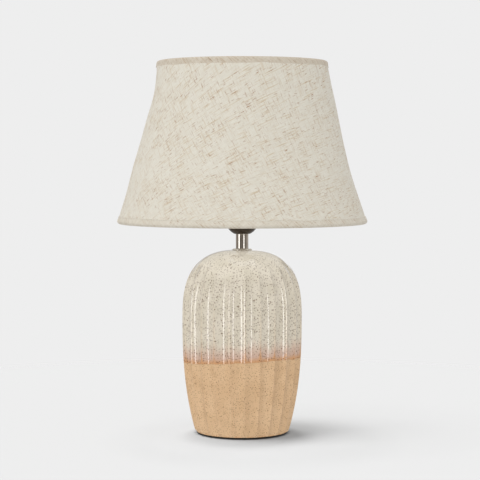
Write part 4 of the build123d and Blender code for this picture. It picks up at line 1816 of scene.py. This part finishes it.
@dataclass(frozen=True)
class Strip:
    """Bright upright band of the studio that shows in glossy surfaces."""

    azimuth: float               # degrees to the right of the camera
    width: float
    level: float
    edge: Span = (0.35, 0.65)    # shares of the width, from its middle, between which it fades out

    def glow(self, bench: NodeBench, azimuth: Socket) -> Socket:
        """Brightness that it adds.

        Args:
            bench: The world's bench.
            azimuth: Direction in degrees to the right of the camera.

        Returns:
            Brightness by direction.
        """
        aside = bench.math("ABSOLUTE", bench.minus(azimuth, self.azimuth))
        inside = bench.fall(aside, *[self.width * share for share in self.edge])
        return bench.times(inside, self.level)


@dataclass(frozen=True)
class GlossyStudio:
    """The studio as glossy surfaces see it: dim in front, brighter at the sides and above, two strips."""

    dim: float = 0.19
    right: float = 0.36
    right_edge: Span = (40.0, 150.0)       # degrees to the right of the camera
    left: float = 0.1
    left_edge: Span = (-80.0, -45.0)
    behind: float = 0.4
    behind_edge: Span = (125.0, 165.0)
    sides_end: Span = (0.05, 0.35)         # rise of the direction, from level at 0 to upright at 1
    strips: tuple[Strip, ...] = (
        Strip(-58, 12, 3.6),
        Strip(32, 7, 4.0),
    )
    strips_start: Span = (-0.6, -0.4)
    strips_end: Span = (0.2, 0.4)
    ceiling: float = 0.9
    ceiling_start: Span = (0.45, 0.8)
    dusk: Span = (0.3, 0.7)                # warm up to the first brightness, neutral from the second
    warm: tuple[float, float, float, float] = (1.0, 0.9, 0.8, 1.0)

    def glow(self, bench: NodeBench) -> Socket:
        """Brightness of the studio.

        Args:
            bench: The world's bench.

        Returns:
            Brightness by direction.
        """
        x, y, z = bench.split(bench.add("ShaderNodeTexCoord").outputs["Generated"])
        azimuth = bench.math("DEGREES", bench.math("ARCTAN2", x, bench.times(y, -1.0)))
        away = bench.math("ABSOLUTE", azimuth)
        sides = bench.total(
            bench.times(bench.step(azimuth, *self.right_edge), self.right),
            bench.times(bench.fall(azimuth, *self.left_edge), self.left),
            bench.times(bench.step(away, *self.behind_edge), self.behind),
        )
        strips = bench.total(*[strip.glow(bench, azimuth) for strip in self.strips])
        upright = bench.times(bench.step(z, *self.strips_start), bench.fall(z, *self.strips_end))
        return bench.total(
            self.dim,
            bench.times(sides, bench.fall(z, *self.sides_end)),
            bench.times(strips, upright),
            bench.times(bench.step(z, *self.ceiling_start), self.ceiling),
        )

    def tint(self, bench: NodeBench, glow: Socket, glossy: Socket) -> Socket:
        """Colour of the studio: its dim parts are warm.

        Args:
            bench: The world's bench.
            glow: Brightness by direction.
            glossy: 1 for rays from glossy surfaces.

        Returns:
            The colour.
        """
        warmth = bench.times(bench.fall(glow, *self.dusk), glossy)
        return bench.mix(warmth, (1.0, 1.0, 1.0, 1.0), self.warm)


@dataclass
class Stage:
    """Pale floor, soft studio light and the camera."""

    backdrop: float = 0.855
    ambient: float = 0.80
    bounce: float = 0.82         # brightness of the floor as the object's underside sees it
    floor_radius: float = 0.6
    floor_corners: int = 96
    floor_tone: float = 0.08     # share of the light that the floor scatters; the rest of it glows evenly
    contact_reach: float = 4.2 * MM
    contact_power: float = 1.2
    lens: float = 121.4
    sensor: float = 36.0
    distance: float = 1.621
    eye_level: float = 0.2748
    aside: float = -0.0022
    pitch: float = 2.855         # degrees down
    suns: tuple[StudioSun, ...] = (
        StudioSun("key", -14, 38, 0.25, 50),
        StudioSun("side", -100, 38, 0.11, 50),
    )
    floor_suns: tuple[StudioSun, ...] = (
        StudioSun("floor_left", -78, 70, 4.4, 30),
        StudioSun("floor_back", -168, 77, 2.5, 14),
    )
    studio: GlossyStudio = GlossyStudio()

    def camera(self) -> None:
        """Put the camera at the photograph's place."""
        data = bpy.data.cameras.new("photo_camera")
        data.lens = self.lens
        data.sensor_width = self.sensor
        data.dof.use_dof = False
        made = bpy.data.objects.new("photo_camera", data)
        made.location = (self.aside, -self.distance, self.eye_level)
        made.rotation_euler = (math.radians(90 - self.pitch), 0, 0)
        bpy.context.scene.collection.objects.link(made)
        bpy.context.scene.camera = made

    @staticmethod
    def seen_directly(bench: NodeBench, path: Outputs) -> Socket:
        """1 for rays that come straight from the camera or through a clear piece."""
        return bench.math("MAXIMUM", path["Is Camera Ray"], path["Is Transmission Ray"])

    def floor_material(self) -> bpy.types.Material:
        """Pale floor whose colour meets the backdrop without an edge and keeps the object's shadow.

        Returns:
            The material.
        """
        lights = self.ambient + sum(sun.on_floor() for sun in (*self.suns, *self.floor_suns))
        glow = self.backdrop - self.floor_tone * lights
        material = bpy.data.materials.new("floor")
        material.use_nodes = True
        material.node_tree.nodes.clear()
        bench = NodeBench(material.node_tree)
        tone = self.floor_tone
        matt = bench.fill(bench.add("ShaderNodeBsdfDiffuse"), {"Color": (tone, tone, tone, 1)})
        open_sky = bench.fill(bench.add("ShaderNodeAmbientOcclusion"), {"Distance": self.contact_reach})
        contact = bench.math("POWER", open_sky.outputs["AO"], self.contact_power)
        even = bench.fill(bench.add("ShaderNodeEmission"), {"Strength": bench.times(contact, glow)})
        shown = bench.add("ShaderNodeAddShader")
        bench.feed(shown.inputs[0], matt.outputs[0])
        bench.feed(shown.inputs[1], even.outputs[0])
        below = bench.fill(bench.add("ShaderNodeEmission"), {"Strength": self.bounce})
        seen = self.seen_directly(bench, bench.add("ShaderNodeLightPath").outputs)
        choice = bench.add("ShaderNodeMixShader")
        for target, value in zip(choice.inputs, (seen, below.outputs[0], shown.outputs[0])):
            bench.feed(target, value)
        bench.fill(bench.add("ShaderNodeOutputMaterial"), {"Surface": choice.outputs[0]})
        return material

    def floor(self) -> bpy.types.Object:
        """Lay the round pale floor.

        Returns:
            The floor.
        """
        rim = [(x, y, 0.0) for x, y in arc((0, 0), self.floor_radius, 0, 360, self.floor_corners)[:-1]]
        mesh = bpy.data.meshes.new("floor")
        mesh.from_pydata(rim, [], [tuple(range(len(rim)))])
        mesh.materials.append(self.floor_material())
        made = bpy.data.objects.new("floor", mesh)
        made.visible_glossy = False
        bpy.context.scene.collection.objects.link(made)
        return made

    def world(self) -> None:
        """Pale backdrop for the camera, even light for the object, and the studio for glossy surfaces."""
        world = bpy.data.worlds.new("studio")
        world.use_nodes = True
        world.node_tree.nodes.clear()
        bench = NodeBench(world.node_tree)
        path = bench.add("ShaderNodeLightPath").outputs
        glow = self.studio.glow(bench)
        level = bench.lerp(path["Is Glossy Ray"], self.ambient, glow)
        level = bench.lerp(self.seen_directly(bench, path), level, self.backdrop)
        tint = self.studio.tint(bench, glow, path["Is Glossy Ray"])
        shader = bench.fill(bench.add("ShaderNodeBackground"), {"Color": tint, "Strength": level})
        bench.fill(bench.add("ShaderNodeOutputWorld"), {"Surface": shader.outputs[0]})
        bpy.context.scene.world = world

    def build(self) -> None:
        """Build the whole stage; the floor has lights of its own that shade nothing else."""
        self.camera()
        floor = self.floor()
        self.world()
        for sun in self.suns:
            sun.build()
        alone = bpy.data.collections.new("lit_floor")
        alone.objects.link(floor)
        for sun in self.floor_suns:
            sun.build().light_linking.receiver_collection = alone
        bpy.context.scene.view_settings.view_transform = "Standard"


def main() -> None:
    """Build the stage and every sub-assembly in order."""
    logging.basicConfig(level=logging.INFO, format="%(name)s: %(message)s")
    Stage().build()
    shop = Workshop()
    for assembly in (StonewareBody(), Foot(), Neck(), LampHolder(), Bulb(), ShadeFrame(), ClothShade()):
        assembly.build(shop)


if __name__ == "__main__":
    main()
